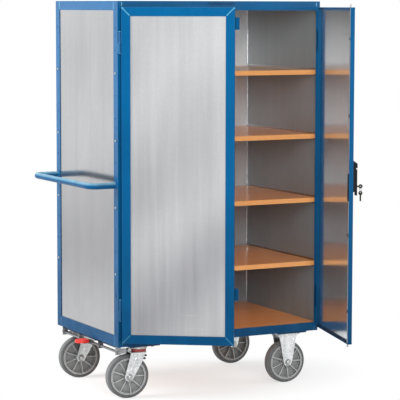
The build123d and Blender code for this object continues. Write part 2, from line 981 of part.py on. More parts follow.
def keeper(direction):
    """Angle on the header or the sill with a hole for the thrown rod."""
    tip = door_top + rod_proud if direction > 0 else door_bottom - rod_proud
    near = tip + direction * keeper_gap
    far = near + direction * keeper_gauge
    half = keeper_width / 2
    ledge_z = sorted((near, far))
    back_z = sorted((far - direction * keeper_height, far))
    ledge = block((-half, -half_depth - keeper_reach, ledge_z[0]), (half, -half_depth, ledge_z[1]))
    back = block((-half, -half_depth - keeper_gauge, back_z[0]), (half, -half_depth, back_z[1]))
    hole = round_bar(
        (rod_x, rod_y, ledge_z[0] - 1),
        (rod_x, rod_y, ledge_z[1] + 1),
        rod_diameter + 4 * rod_hole_clearance,
    )
    return ledge + back - hole


# Castors


def castor_drills(side):
    """Bolt holes of both castors at one end of the cabinet."""
    drills = []
    for x, y in castor_bolt_places(side):
        start = (x, y, castor_plate_bottom - 1)
        end = (x, y, base_height + 1)
        drills.append(round_bar(start, end, castor_bolt_diameter + castor_bolt_clearance))
    return drills


def castor_bolt_places(side):
    return [
        (side * castor_x + dx * castor_bolt_span_x / 2, face * castor_y + dy * castor_bolt_span_y / 2)
        for face in (-1, 1)
        for dx in (-1, 1)
        for dy in (-1, 1)
    ]


def castor_bolt(x, y):
    head_low = castor_plate_bottom - castor_bolt_head
    top = base_height + castor_nut + castor_bolt_tip
    bolt = hex_bar((x, y, head_low), (x, y, castor_plate_bottom), castor_bolt_width)
    return bolt + round_bar((x, y, castor_plate_bottom), (x, y, top), castor_bolt_diameter)


def castor_nut_piece(x, y):
    nut = hex_bar((x, y, base_height), (x, y, base_height + castor_nut), castor_bolt_width)
    bore = round_bar(
        (x, y, base_height - 1),
        (x, y, base_height + castor_nut + 1),
        castor_bolt_diameter + 2 * running_clearance,
    )
    return nut - bore


def castor_plate():
    """Top plate of a castor about the origin, without its bolt holes."""
    x, y = castor_plate_length / 2, castor_plate_width / 2
    plate = block((-x, -y, castor_plate_bottom), (x, y, castor_plate_top))
    return fillet(plate.edges().filter_by(Axis.Z), castor_plate_radius)


def swivel_head(face):
    """Top plate with the upper bearing race under it."""
    head = castor_plate()
    head += round_bar((0, 0, race_bottom), (0, 0, castor_plate_bottom), race_diameter)
    head -= round_bar(
        (0, 0, race_bottom - 1),
        (0, 0, castor_plate_top + 1),
        kingpin_diameter + 2 * running_clearance,
    )
    return Pos(-castor_x, face * castor_y, 0) * head - castor_drills(-1)


def kingpin(face):
    """Pin through the head and the fork's crown, with the collar that carries the fork."""
    collar_top = fork_crown_height - fork_crown_gauge - kingpin_gap
    collar_low = collar_top - kingpin_collar_height
    pin = round_bar((0, 0, collar_low), (0, 0, castor_plate_top), kingpin_diameter)
    pin += round_bar((0, 0, collar_low), (0, 0, collar_top), kingpin_collar_diameter)
    return Pos(-castor_x, face * castor_y, 0) * pin


def trailed(shape, face):
    """Piece of a swivel castor turned about its kingpin to its stored direction and put in place."""
    angle = near_castor_angle if face < 0 else far_castor_angle
    return Pos(-castor_x, face * castor_y, 0) * Rot(0, 0, -angle) * shape


def leg_foot(x):
    """Lower corners of a castor leg about its axle, from the front edge round to the back edge."""
    foot = wheel_radius - leg_foot_drop
    return (
        (x + leg_foot_half_width, wheel_radius),
        (x + leg_foot_half_width - leg_foot_bevel, foot),
        (x - leg_foot_half_width + leg_foot_bevel, foot),
        (x - leg_foot_half_width, wheel_radius),
    )


def leg_face(upper_front, upper_back, x):
    """Outline of a castor leg, with its foot rounded."""
    outline = make_face(Polyline(*upper_front, *leg_foot(x), *upper_back, close=True))
    return fillet(outline.vertices().group_by(Axis.Y)[0], leg_foot_radius)


def fork_leg_outline():
    top = fork_crown_height
    front = (
        (fork_top_front, top),
        (fork_top_front - fork_shoulder_inset, top - fork_shoulder_drop),
    )
    return leg_face(front, ((-fork_top_back, top),), -castor_trail)


def fork():
    """Crown, two legs and the ears with the brake shoe's pin."""
    outline = fork_leg_outline()
    crown_low = fork_crown_height - fork_crown_gauge
    body = block((-fork_top_back, -fork_outer, crown_low), (fork_top_front, fork_outer, fork_crown_height))
    body += upright_plate(outline, fork_outer, fork_gauge)
    body += upright_plate(outline, -fork_inner, fork_gauge)
    bends = body.edges().filter_by(Axis.X).group_by(Axis.Z)[-1]
    body = fillet(bends, 0.8 * fork_gauge)
    body += shoe_ears()
    body -= round_bar((0, 0, 0), (0, 0, cabinet_height), kingpin_diameter + 2 * running_clearance)
    return body - axle_bore(-castor_trail)


def axle_bore(x):
    reach = fork_outer + 1
    start = (x, -reach, wheel_radius)
    return round_bar(start, (x, reach, wheel_radius), axle_diameter + 2 * running_clearance)


def shoe_ears():
    pivot_z = fork_crown_height + shoe_pivot_rise
    inner = shoe_width / 2 + shoe_side_gap
    outer = inner + shoe_ear_gauge
    back = -shoe_pivot_back - shoe_hub_radius
    front = -seal_diameter / 2 - shoe_ear_gap
    top = pivot_z + shoe_hub_radius
    ears = round_bar((-shoe_pivot_back, -outer, pivot_z), (-shoe_pivot_back, outer, pivot_z), shoe_pin_diameter)
    for low, high in ((-outer, -inner), (inner, outer)):
        ears += block((back, low, fork_crown_height), (front, high, top))
    return ears


def brake_shoe():
    """Shoe that swings down onto the tread."""
    half = shoe_width / 2
    pivot_z = fork_crown_height + shoe_pivot_rise
    bottom = wheel_diameter + shoe_tread_gap
    hub = round_bar((-shoe_pivot_back, -half, pivot_z), (-shoe_pivot_back, half, pivot_z), 2 * shoe_hub_radius)
    pad = block((-shoe_back, -half, bottom), (-shoe_front, half, fork_crown_height + shoe_top_rise))
    arm = block((-shoe_front, -half, pivot_z - shoe_hub_radius / 2), (-shoe_pivot_back, half, pivot_z))
    pin = round_bar(
        (-shoe_pivot_back, -half - 1, pivot_z),
        (-shoe_pivot_back, half + 1, pivot_z),
        shoe_pin_diameter + 2 * running_clearance,
    )
    return hub + arm + pad - pin


def swivel_seal():
    """Ring that closes the gap between the fork's crown and the race."""
    low, high = fork_crown_height, race_bottom - seal_gap
    ring = round_bar((0, 0, low), (0, 0, high), seal_diameter)
    return ring - round_bar((0, 0, low - 1), (0, 0, high + 1), seal_bore)


def axle(x):
    """Axle bolt with its head and nut outside the legs."""
    end = fork_outer + axle_head_height
    bolt = round_bar((x, -end, wheel_radius), (x, end, wheel_radius), axle_diameter)
    for side in (-1, 1):
        start = (x, side * fork_outer, wheel_radius)
        bolt += hex_bar(start, (x, side * end, wheel_radius), axle_head_width)
    return bolt


def fixed_bracket(face):
    """Top plate with two legs straight down to the axle."""
    top, low = castor_plate_top, castor_plate_bottom
    wide, neck = bracket_top_half_width, bracket_neck_half_width
    front = ((wide, top), (wide, low), (neck, low - bracket_neck_drop))
    back = [(-x, z) for x, z in reversed(front)]
    outline = leg_face(front, back, 0)
    necks = outline.vertices().filter_by_position(Axis.Y, low - bracket_neck_drop - 1, low - bracket_neck_drop + 1)
    outline = fillet(necks, bracket_neck_radius)
    body = castor_plate()
    body += upright_plate(outline, fork_outer, fork_gauge)
    body += upright_plate(outline, -fork_inner, fork_gauge)
    body -= axle_bore(0)
    return Pos(castor_x, face * castor_y, 0) * body - castor_drills(1)


def turned_ring(outline):
    """Ring about the axle from an outline of radius and side position."""
    return revolve(outline, Axis.Y, 360)


def tyre():
    half = wheel_width / 2
    outline = make_face(
        Polyline(
            (rim_radius, -half),
            (wheel_radius, -half),
            (wheel_radius, half),
            (rim_radius, half),
            close=True,
        )
    )
    shoulders = outline.vertices().group_by(Axis.X)[-1]
    return turned_ring(fillet(shoulders, tyre_shoulder))


def rim():
    """Hub, web, ribs and the ring that carries the tyre."""
    bore = axle_diameter / 2 + running_clearance
    hub_radius = hub_diameter / 2
    ring_inner = rim_radius - rim_ring
    ring_half = wheel_width / 2 + rim_lip
    parts = (
        (bore, hub_radius, hub_length / 2),
        (hub_radius, ring_inner, rim_web / 2),
        (ring_inner, rim_radius, ring_half),
    )
    body = Part()
    for low, high, half in parts:
        corners = ((low, -half), (high, -half), (high, half), (low, half))
        body += turned_ring(make_face(Polyline(*corners, close=True)))
    rib_half = ring_half - rim_rib_setback
    rib = block(
        (hub_radius - 1, -rib_half, -rim_rib_gauge / 2),
        (ring_inner + 1, rib_half, rim_rib_gauge / 2),
    )
    for i in range(rim_rib_count):
        body += Rot(0, 360 * i / rim_rib_count, 0) * rib
    return body


def wheel_pieces():
    """Rim and tyre with their axle along Y through the origin."""
    return {"rim": rim(), "tyre": tyre()}


# Foot brake


def brake_shaft():
    half = brake_shaft_length / 2
    shaft = round_bar((brake_x, -half, brake_z), (brake_x, half, brake_z), brake_shaft_diameter)
    for face in (-1, 1):
        y = sorted((face * crank_spot, face * (crank_spot - crank_gauge)))
        low = (brake_x, y[0], brake_z - crank_height / 2)
        shaft += block(low, (brake_x + crank_reach, y[1], brake_z + crank_height / 2))
    return shaft + pedal_arm()


def brake_bracket(y):
    half = brake_bracket_width / 2
    low = (brake_x - half, y - brake_bracket_gauge / 2, brake_z - brake_bracket_drop)
    plate = block(low, (brake_x + half, y + brake_bracket_gauge / 2, base_height))
    bore = round_bar(
        (brake_x, y - brake_bracket_gauge, brake_z),
        (brake_x, y + brake_bracket_gauge, brake_z),
        brake_shaft_diameter + 2 * running_clearance,
    )
    return plate - bore


def pedal_arm():
    """Clamped hub and flat arm that carry the foot pad."""
    half = pedal_hub_length / 2
    half_gauge = pedal_arm_gauge / 2
    arm = round_bar((brake_x, -half, brake_z), (brake_x, half, brake_z), pedal_hub_diameter)
    low = (brake_x - pedal_reach, -half, brake_z - half_gauge)
    return arm + block(low, (brake_x, half, brake_z + half_gauge))


def brake_pedal():
    """Round foot pad on the pedal arm."""
    pad_x = brake_x - pedal_reach
    low = brake_z + pedal_arm_gauge / 2
    pedal = round_bar((pad_x, 0, low), (pad_x, 0, low + pedal_thickness), pedal_diameter)
    hub = round_bar((brake_x, -pedal_diameter, brake_z), (brake_x, pedal_diameter, brake_z), pedal_hub_diameter)
    return fillet(pedal.edges().group_by(Axis.Z)[-1], 0.3 * pedal_thickness) - hub


# Assembly


def save_frame():
    save("corner_posts", corner_posts())
    save("base_rails", base_rails())
    save("top_rails", top_rails())
    save("cross_members", cross_members())
    save("roof_panel", roof_panel())
    save("end_panels", [end_panel(-1), end_panel(1)])
    save("back_panel", back_panel())
    save("keepers", [keeper(1), keeper(-1)])
    save("push_handle", push_handle())
    save("handle_bolts", [handle_bolt(-hole_y), handle_bolt(hole_y)])


def save_shelves():
    save("floor_board", floor_board())
    save("shelves", [shelf(height) for height in shelf_heights])
    save("shelf_supports", shelf_supports())
    save("shelf_screws", [shelf_screw(*place) for place in screw_places()])
    save("shelf_nuts", [shelf_nut(*place) for place in screw_places()])


def save_doors():
    heights = hinge_heights
    sides = (-1, 1)
    save("frame_knuckles", [frame_knuckle(side, height) for side in sides for height in heights])
    save("hinge_pins", [hinge_pin(side, height) for side in sides for height in heights])
    save("left_door_knuckles", [swung(door_knuckle(-1, height), -1) for height in heights])
    save("right_door_knuckles", [swung(door_knuckle(1, height), 1) for height in heights])
    save("left_door_frame", [swung(length, -1) for length in left_door_frame()])
    save("left_door_sheet", swung(mirrored_x(door_sheet()), -1))
    save("closing_tabs", [swung(closing_tab(height), -1) for height in tab_heights])
    save("right_door_frame", [swung(length, 1) for length in right_door_frame()])
    save("right_door_sheet", swung(right_door_sheet(), 1))


def save_lock():
    pieces = {
        "lock_plate": lock_plate(),
        "lock_hub": lock_hub(),
        "lock_lever": lock_lever(),
        "lock_cover": lock_cover(),
        "key_cylinder": key_cylinder(),
        "inserted_key": inserted_key(),
        "upper_rod": upper_rod(),
        "lower_rod": lower_rod(),
    }
    for name, piece in pieces.items():
        save(name, swung(piece, 1))
    save("spare_key", [swung(key_ring(), 1), swung(spare_key(), 1)])
    save("rod_guides", [swung(rod_guide(height), 1) for height in guide_heights])


def save_castors():
    faces = {"near": -1, "far": 1}
    save("swivel_heads", [swivel_head(face) for face in faces.values()])
    save("kingpins", [kingpin(face) for face in faces.values()])
    save("fixed_brackets", [fixed_bracket(face) for face in faces.values()])
    save("fixed_axles", [Pos(castor_x, face * castor_y, 0) * axle(0) for face in faces.values()])
    places = castor_bolt_places(-1) + castor_bolt_places(1)
    save("castor_bolts", [castor_bolt(x, y) for x, y in places])
    save("castor_nuts", [castor_nut_piece(x, y) for x, y in places])
    for word, face in faces.items():
        save(f"{word}_fork", trailed(fork(), face))
        save(f"{word}_swivel_seal", trailed(swivel_seal(), face))
        save(f"{word}_swivel_axle", trailed(axle(-castor_trail), face))
        save(f"{word}_brake_shoe", trailed(brake_shoe(), face))
        for name, piece in wheel_pieces().items():
            hung = Pos(-castor_trail, 0, wheel_radius) * piece
            save(f"{word}_swivel_{name}", trailed(hung, face))
            save(f"{word}_fixed_{name}", Pos(castor_x, face * castor_y, wheel_radius) * piece)


def save_brake():
    save("brake_shaft", brake_shaft())
    save("brake_pedal", brake_pedal())
    save("brake_brackets", [brake_bracket(y) for y in brake_bracket_spots])


os.makedirs("parts", exist_ok=True)
save_frame()
save_shelves()
save_doors()
save_lock()
save_castors()
save_brake()
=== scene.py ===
import bpy
import bmesh
import json
import math
from mathutils import Matrix, Vector


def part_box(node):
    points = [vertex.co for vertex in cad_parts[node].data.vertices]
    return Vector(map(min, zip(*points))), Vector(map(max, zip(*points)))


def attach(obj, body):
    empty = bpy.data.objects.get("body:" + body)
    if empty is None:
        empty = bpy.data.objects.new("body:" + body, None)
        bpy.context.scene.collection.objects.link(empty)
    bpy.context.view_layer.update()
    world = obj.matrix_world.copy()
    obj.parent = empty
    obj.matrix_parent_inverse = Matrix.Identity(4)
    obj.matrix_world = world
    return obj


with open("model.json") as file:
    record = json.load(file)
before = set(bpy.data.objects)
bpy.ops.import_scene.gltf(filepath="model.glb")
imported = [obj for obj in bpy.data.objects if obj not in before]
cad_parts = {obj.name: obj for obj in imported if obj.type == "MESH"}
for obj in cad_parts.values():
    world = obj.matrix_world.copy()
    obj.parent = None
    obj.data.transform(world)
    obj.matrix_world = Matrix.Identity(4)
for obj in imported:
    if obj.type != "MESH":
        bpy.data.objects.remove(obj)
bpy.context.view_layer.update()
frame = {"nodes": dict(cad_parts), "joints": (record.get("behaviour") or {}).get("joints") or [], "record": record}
nodes = frame["nodes"]
scene = bpy.context.scene
scene.view_settings.view_transform = "Standard"
print("frame loaded:", len(nodes), "nodes")


# camera at the photo's view

viewSettings = {
    "place": (-4.0488, -7.9575, 1.7812),
    "yaw": 27.3742,  # degrees right of +Y
    "pitch": 5.8804,  # degrees down
    "roll": 0.0941,
    "lens": 170.181,
    "sensor": 36.0,
    "reach": 4000.0,
}


def setCamera(settings):
    data = bpy.data.cameras.new("photoCamera")
    data.lens = settings["lens"]
    data.sensor_width = settings["sensor"]
    data.clip_end = settings["reach"]
    cam = bpy.data.objects.new("photoCamera", data)
    scene.collection.objects.link(cam)
    yaw, pitch, roll = (math.radians(settings[k]) for k in ("yaw", "pitch", "roll"))
    level = math.cos(pitch)
    ahead = Vector((math.sin(yaw) * level, math.cos(yaw) * level, -math.sin(pitch)))
    right = Vector((math.cos(yaw), -math.sin(yaw), 0.0))
    up = right.cross(ahead)
    tiltedRight = right * math.cos(roll) + up * math.sin(roll)
    tiltedUp = up * math.cos(roll) - right * math.sin(roll)
    turn = Matrix((tiltedRight, tiltedUp, -ahead)).transposed().to_4x4()
    cam.matrix_world = Matrix.Translation(settings["place"]) @ turn
    scene.camera = cam


setCamera(viewSettings)


# joints and the doors' places at rest

jointAt = {joint["name"]: joint for joint in frame["joints"]}
doorNames = {-1: "left", 1: "right"}
doorBodies = {-1: "left_door", 1: "right_door"}


def doorPlace(side):
    joint = jointAt[doorBodies[side] + "_swing"]
    hinge = Vector(joint["pos_m"])
    opened = math.radians(-joint["range_deg"][0] * joint["axis"][2])
    return Matrix.Translation(hinge) @ Matrix.Rotation(opened, 4, "Z") @ Matrix.Translation(-hinge)


# node helpers

noiseSpan = (0.3, 0.7)  # most of a noise texture's values lie in here


def makeNode(tree, kind, settings=None, inputs=None):
    node = tree.nodes.new(kind)
    for key, value in (settings or {}).items():
        setattr(node, key, value)
    for key, value in (inputs or {}).items():
        if isinstance(value, bpy.types.NodeSocket):
            tree.links.new(value, node.inputs[key])
        else:
            node.inputs[key].default_value = value
    return node


def mathNode(tree, operation, first, second=0.0, clamp=False):
    settings = {"operation": operation, "use_clamp": clamp}
    return makeNode(tree, "ShaderNodeMath", settings, {0: first, 1: second}).outputs[0]


def times(tree, first, second):
    return mathNode(tree, "MULTIPLY", first, second)


def plus(tree, first, second, clamp=False):
    return mathNode(tree, "ADD", first, second, clamp)


def weighted(tree, *parts):
    total = None
    for value, share in parts:
        part = times(tree, value, share)
        total = plus(tree, total, part) if total else part
    return total


def remap(tree, value, fromLow, fromHigh, toLow=0.0, toHigh=1.0):
    inputs = {0: value, 1: fromLow, 2: fromHigh, 3: toLow, 4: toHigh}
    return makeNode(tree, "ShaderNodeMapRange", {"clamp": True}, inputs).outputs[0]


def spread(tree, value, toLow=0.0, toHigh=1.0):
    return remap(tree, value, *noiseSpan, toLow, toHigh)


def mixColour(tree, factor, first, second, blend="MIX"):
    node = makeNode(tree, "ShaderNodeMix", {"data_type": "RGBA", "blend_type": blend}, {0: factor})
    for index, value in ((6, first), (7, second)):
        if isinstance(value, bpy.types.NodeSocket):
            tree.links.new(value, node.inputs[index])
        else:
            node.inputs[index].default_value = (*value, 1.0)
    return node.outputs[2]


def noise(tree, vector, scale, detail=3.0):
    inputs = {"Vector": vector, "Scale": scale, "Detail": detail}
    return makeNode(tree, "ShaderNodeTexNoise", None, inputs).outputs["Fac"]


def stretched(tree, vector, scale):
    return makeNode(tree, "ShaderNodeMapping", None, {"Vector": vector, "Scale": scale}).outputs[0]


def axes(tree, vector):
    return makeNode(tree, "ShaderNodeSeparateXYZ", None, {0: vector}).outputs


def faceAxes(tree):
    return axes(tree, makeNode(tree, "ShaderNodeTexCoord").outputs["Normal"])


def newGroup(name, inputs, outputs=("Mask",)):
    tree = bpy.data.node_groups.new(name, "ShaderNodeTree")
    for label, value in inputs.items():
        socket = tree.interface.new_socket(label, in_out="INPUT", socket_type="NodeSocketFloat")
        socket.default_value = value
    for label in outputs:
        tree.interface.new_socket(label, in_out="OUTPUT", socket_type="NodeSocketFloat")
    entry = tree.nodes.new("NodeGroupInput")
    leave = tree.nodes.new("NodeGroupOutput")
    place = makeNode(tree, "ShaderNodeTexCoord").outputs["Object"]
    return tree, entry.outputs, leave.inputs, place


def useGroup(tree, group, **values):
    return makeNode(tree, "ShaderNodeGroup", {"node_tree": group}, values).outputs


# shared surface effects, with lengths in metres

patchLow = 0.7  # least strength of a mask that noise breaks up


def drawnOut(tree, vector, share):
    return stretched(tree, vector, (1.0, 1.0, share))


coatGrainSettings = {
    "inputs": {"Peel": 700.0, "Cloud": 4.0},
    "speckScale": 2400.0,
    "glossScale": 22.0,
    "shade": (0.9, 1.08),
    "speckShare": 0.3,
}


def coatGrainGroup(settings):
    tree, entry, leave, place = newGroup("coatGrain", settings["inputs"], ("Shade", "Gloss", "Height"))
    cloud = noise(tree, place, entry["Cloud"], detail=4.0)
    peel = noise(tree, place, entry["Peel"], detail=1.5)
    speck = noise(tree, place, settings["speckScale"], detail=1.0)
    gloss = noise(tree, place, settings["glossScale"], detail=5.0)
    tree.links.new(spread(tree, cloud, *settings["shade"]), leave["Shade"])
    tree.links.new(spread(tree, gloss), leave["Gloss"])
    tree.links.new(weighted(tree, (speck, settings["speckShare"]), (peel, 1.0)), leave["Height"])
    return tree


edgeRubAndHighlightSettings = {
    "inputs": {"Width": 0.002, "Breakup": 60.0, "Cover": 0.0},
    "bend": (0.99, 0.86),  # cosines of the bend, from none to the full edge tone
    "patch": (0.42, 0.66),
}


def edgeRubAndHighlightGroup(settings):
    tree, entry, leave, place = newGroup("edgeRubAndHighlight", settings["inputs"])
    rounded = makeNode(tree, "ShaderNodeBevel", {"samples": 4}, {"Radius": entry["Width"]}).outputs[0]
    flat = makeNode(tree, "ShaderNodeNewGeometry").outputs["Normal"]
    both = {0: rounded, 1: flat}
    bend = makeNode(tree, "ShaderNodeVectorMath", {"operation": "DOT_PRODUCT"}, both).outputs["Value"]
    edge = remap(tree, bend, *settings["bend"])
    spots = noise(tree, place, entry["Breakup"], detail=4.0)
    patch = remap(tree, spots, *settings["patch"], entry["Cover"])
    tree.links.new(times(tree, edge, patch), leave["Mask"])
    return tree


lowFadeSettings = {
    "inputs": {"Reach": 0.5, "Amount": 0.3, "Clear": 0.2, "Fall": 1.0},
    "cloudScale": 14.0,
    "cloud": (0.35, 0.7),
}


# a mask that grows towards the bottom; it carries dust, and also painted shade and painted light low down
def lowFadeGroup(settings):
    tree, entry, leave, place = newGroup("lowFade", settings["inputs"])
    share = mathNode(tree, "DIVIDE", axes(tree, place)["Z"], entry["Reach"])
    low = mathNode(tree, "POWER", remap(tree, share, 0.0, 1.0, 1.0, 0.0), entry["Fall"])
    cloud = noise(tree, place, settings["cloudScale"], detail=6.0)
    cloud = remap(tree, cloud, *settings["cloud"], entry["Clear"])
    tree.links.new(times(tree, times(tree, low, cloud), entry["Amount"]), leave["Mask"])
    return tree


scuffSettings = {
    "inputs": {"Density": 0.5, "Size": 9.0},
    "lineScale": 1.6,
    "lines": (  # stretch and noise span of the upright and the level scratches
        ((90.0, 90.0, 3.0), (0.68, 0.74)),
        ((3.0, 3.0, 120.0), (0.69, 0.75)),
    ),
    "patch": (0.45, 0.7),
}


def scuffGroup(settings):
    tree, entry, leave, place = newGroup("scuffs", settings["inputs"])
    upright, level = (
        remap(tree, noise(tree, stretched(tree, place, stretch), settings["lineScale"], detail=2.0), *span)
        for stretch, span in settings["lines"]
    )
    lines = mathNode(tree, "MAXIMUM", upright, level)
    patch = remap(tree, noise(tree, place, entry["Size"], detail=2.0), *settings["patch"])
    tree.links.new(times(tree, times(tree, lines, patch), entry["Density"]), leave["Mask"])
    return tree


zincSheetSettings = {
    "inputs": {"Spangle": 240.0, "Lines": 420.0},
    "streak": 0.012,  # stretch along the height
    "broad": (0.02, 34.0),  # stretch and scale
    "wide": (0.16, 7.0),
    "fineScale": 900.0,
    "cloudScale": 3.5,
    "tone": (0.12, 0.28, 0.1, 0.15, 0.2, 0.35),  # shares of flake, streak, fine, cloud, broad, wide
    "toneSpan": (0.4, 0.8),
    "shade": (0.84, 1.08),
    "gloss": (0.3, 0.7),  # shares of flake and streak
    "fineHeight": 0.5,
}


def zincSheetGroup(settings):
    tree, entry, leave, place = newGroup("zincSheet", settings["inputs"], ("Shade", "Gloss", "Height"))
    cellInputs = {"Vector": place, "Scale": entry["Spangle"]}
    cells = makeNode(tree, "ShaderNodeTexVoronoi", {"feature": "F1"}, cellInputs).outputs["Color"]
    flake = makeNode(tree, "ShaderNodeSeparateColor", None, {0: cells}).outputs[0]
    streak = noise(tree, drawnOut(tree, place, settings["streak"]), entry["Lines"])
    broadStretch, broadScale = settings["broad"]
    broad = noise(tree, drawnOut(tree, place, broadStretch), broadScale)
    wideStretch, wideScale = settings["wide"]
    wide = noise(tree, drawnOut(tree, place, wideStretch), wideScale, detail=2.0)
    fine = noise(tree, place, settings["fineScale"], detail=2.0)
    cloud = noise(tree, place, settings["cloudScale"], detail=5.0)
    tone = weighted(tree, *zip((flake, streak, fine, cloud, broad, wide), settings["tone"]))
    tree.links.new(remap(tree, tone, *settings["toneSpan"], *settings["shade"]), leave["Shade"])
    tree.links.new(weighted(tree, *zip((flake, streak), settings["gloss"])), leave["Gloss"])
    tree.links.new(weighted(tree, (streak, 1.0), (fine, settings["fineHeight"])), leave["Height"])
    return tree


# painted reflection: soft slanting dark bands across the sheets
reflectionBandSettings = {
    "inputs": {"AlongX": 0.0, "AlongY": -1.0, "Slope": 0.2, "Period": 0.9, "Start": 0.84},
    "waverScale": 2.0,
    "waver": 0.2,
    "heights": (0.4, 1.25),
    "depth": (1.0, 0.3),  # weaker towards the top
}


def reflectionBandGroup(settings):
    tree, entry, leave, place = newGroup("reflectionBand", settings["inputs"])
    spot = axes(tree, place)
    along = weighted(tree, (spot["X"], entry["AlongX"]), (spot["Y"], entry["AlongY"]))
    rise = mathNode(tree, "SUBTRACT", spot["Z"], times(tree, along, entry["Slope"]))
    waver = noise(tree, place, settings["waverScale"], detail=2.0)
    rise = weighted(tree, (rise, 1.0), (waver, settings["waver"]))
    turns = mathNode(tree, "DIVIDE", mathNode(tree, "SUBTRACT", rise, entry["Start"]), entry["Period"])
    wave = mathNode(tree, "COSINE", times(tree, turns, 2 * math.pi))
    depth = remap(tree, spot["Z"], *settings["heights"], *settings["depth"])
    tree.links.new(times(tree, remap(tree, wave, -1.0, 1.0), depth), leave["Mask"])
    return tree


beechGrainSettings = {
    "inputs": {"Figure": 7.0},
    "figure": (0.12, 1.0, 1.0),  # stretches along and across the board
    "fibre": (4.0, 130.0, 130.0),
    "band": (0.8, 16.0, 16.0),
    "pore": (60.0, 420.0, 420.0),
    "fleck": (0.63, 0.72),
    "tone": (0.3, 0.35, 0.35),  # shares of figure, fibre and band
    "fleckHeight": -0.4,
}


def beechGrainGroup(settings):
    tree, entry, leave, place = newGroup("beechGrain", settings["inputs"], ("Tone", "Fleck", "Height"))
    figure = noise(tree, stretched(tree, place, settings["figure"]), entry["Figure"])
    fibre = noise(tree, stretched(tree, place, settings["fibre"]), scale=1.0, detail=4.0)
    band = noise(tree, stretched(tree, place, settings["band"]), scale=1.0)
    pore = noise(tree, stretched(tree, place, settings["pore"]), scale=1.0, detail=1.0)
    fleck = remap(tree, pore, *settings["fleck"])
    tone = weighted(tree, *zip((figure, fibre, band), settings["tone"]))
    tree.links.new(spread(tree, tone), leave["Tone"])
    tree.links.new(fleck, leave["Fleck"])
    tree.links.new(weighted(tree, (fibre, 1.0), (fleck, settings["fleckHeight"])), leave["Height"])
    return tree


mouldGrainSettings = {
    "inputs": {"Grain": 1500.0},
    "cloudScale": 18.0,
    "shade": (0.88, 1.1),
    "gloss": (0.5, 0.5),  # shares of grain and cloud
}


def mouldGrainGroup(settings):
    tree, entry, leave, place = newGroup("mouldGrain", settings["inputs"], ("Shade", "Gloss", "Height"))
    grain = noise(tree, place, entry["Grain"], detail=2.0)
    cloud = noise(tree, place, settings["cloudScale"], detail=4.0)
    tree.links.new(spread(tree, cloud, *settings["shade"]), leave["Shade"])
    tree.links.new(weighted(tree, *zip((grain, cloud), settings["gloss"])), leave["Gloss"])
    tree.links.new(grain, leave["Height"])
    return tree


# painted shade: darkens the colour in recesses, seams and holes, where ambient occlusion finds shade
recessShadeSettings = {
    "inputs": {"Reach": 0.02, "Amount": 1.0},
    "patchScale": 55.0,
    "open": (0.92, 0.35),  # how open a spot is, from no painted shade to full painted shade
}


def recessShadeGroup(settings):
    tree, entry, leave, place = newGroup("recessShade", settings["inputs"])
    reach = {"Distance": entry["Reach"]}
    shelter = makeNode(tree, "ShaderNodeAmbientOcclusion", {"samples": 6}, reach).outputs["AO"]
    patch = spread(tree, noise(tree, place, settings["patchScale"], detail=4.0), patchLow)
    hidden = remap(tree, shelter, *settings["open"])
    tree.links.new(times(tree, times(tree, hidden, patch), entry["Amount"]), leave["Mask"])
    return tree


streakSettings = {"stretch": 0.05, "scale": 30.0}


def streakCloud(tree, place, low, settings=streakSettings):
    streak = noise(tree, drawnOut(tree, place, settings["stretch"]), settings["scale"], detail=4.0)
    return spread(tree, streak, low)


roomFaceSettings = {"inputs": {"HalfWidth": 0.51, "BackFace": 0.34}, "least": 0.86}


def roomFaceGroup(settings):
    tree, entry, leave, place = newGroup("roomFace", settings["inputs"])
    spot = axes(tree, place)
    across = mathNode(tree, "LESS_THAN", mathNode(tree, "ABSOLUTE", spot["X"]), entry["HalfWidth"])
    front = mathNode(tree, "LESS_THAN", spot["Y"], entry["BackFace"])
    cloud = streakCloud(tree, place, settings["least"])
    tree.links.new(times(tree, times(tree, across, front), cloud), leave["Mask"])
    return tree


outerFaceSettings = {"inputs": {"OutX": 0.0, "OutY": -1.0}, "turned": 0.2, "least": 0.9}


def outerFaceGroup(settings):
    tree, entry, leave, place = newGroup("outerFace", settings["inputs"])
    facing = faceAxes(tree)
    outward = weighted(tree, (facing["X"], entry["OutX"]), (facing["Y"], entry["OutY"]))
    outer = mathNode(tree, "GREATER_THAN", outward, settings["turned"])
    tree.links.new(times(tree, outer, streakCloud(tree, place, settings["least"])), leave["Mask"])
    return tree


treadWearSettings = {"inputs": {"Patch": 40.0}, "sideways": (0.75, 0.25)}


def treadWearGroup(settings):
    tree, entry, leave, place = newGroup("treadWear", settings["inputs"])
    tread = remap(tree, mathNode(tree, "ABSOLUTE", faceAxes(tree)["Y"]), *settings["sideways"])
    patch = spread(tree, noise(tree, place, entry["Patch"], detail=4.0), patchLow)
    tree.links.new(times(tree, tread, patch), leave["Mask"])
    return tree


# painted highlight: a lighter tone on faces that look upwards
topHighlightSettings = {"inputs": {"Low": 0.1, "High": 0.85}, "patchScale": 30.0}


def topHighlightGroup(settings):
    tree, entry, leave, place = newGroup("topHighlight", settings["inputs"])
    worn = remap(tree, faceAxes(tree)["Z"], entry["Low"], entry["High"])
    patch = spread(tree, noise(tree, place, settings["patchScale"], detail=4.0), patchLow)
    tree.links.new(times(tree, worn, patch), leave["Mask"])
    return tree


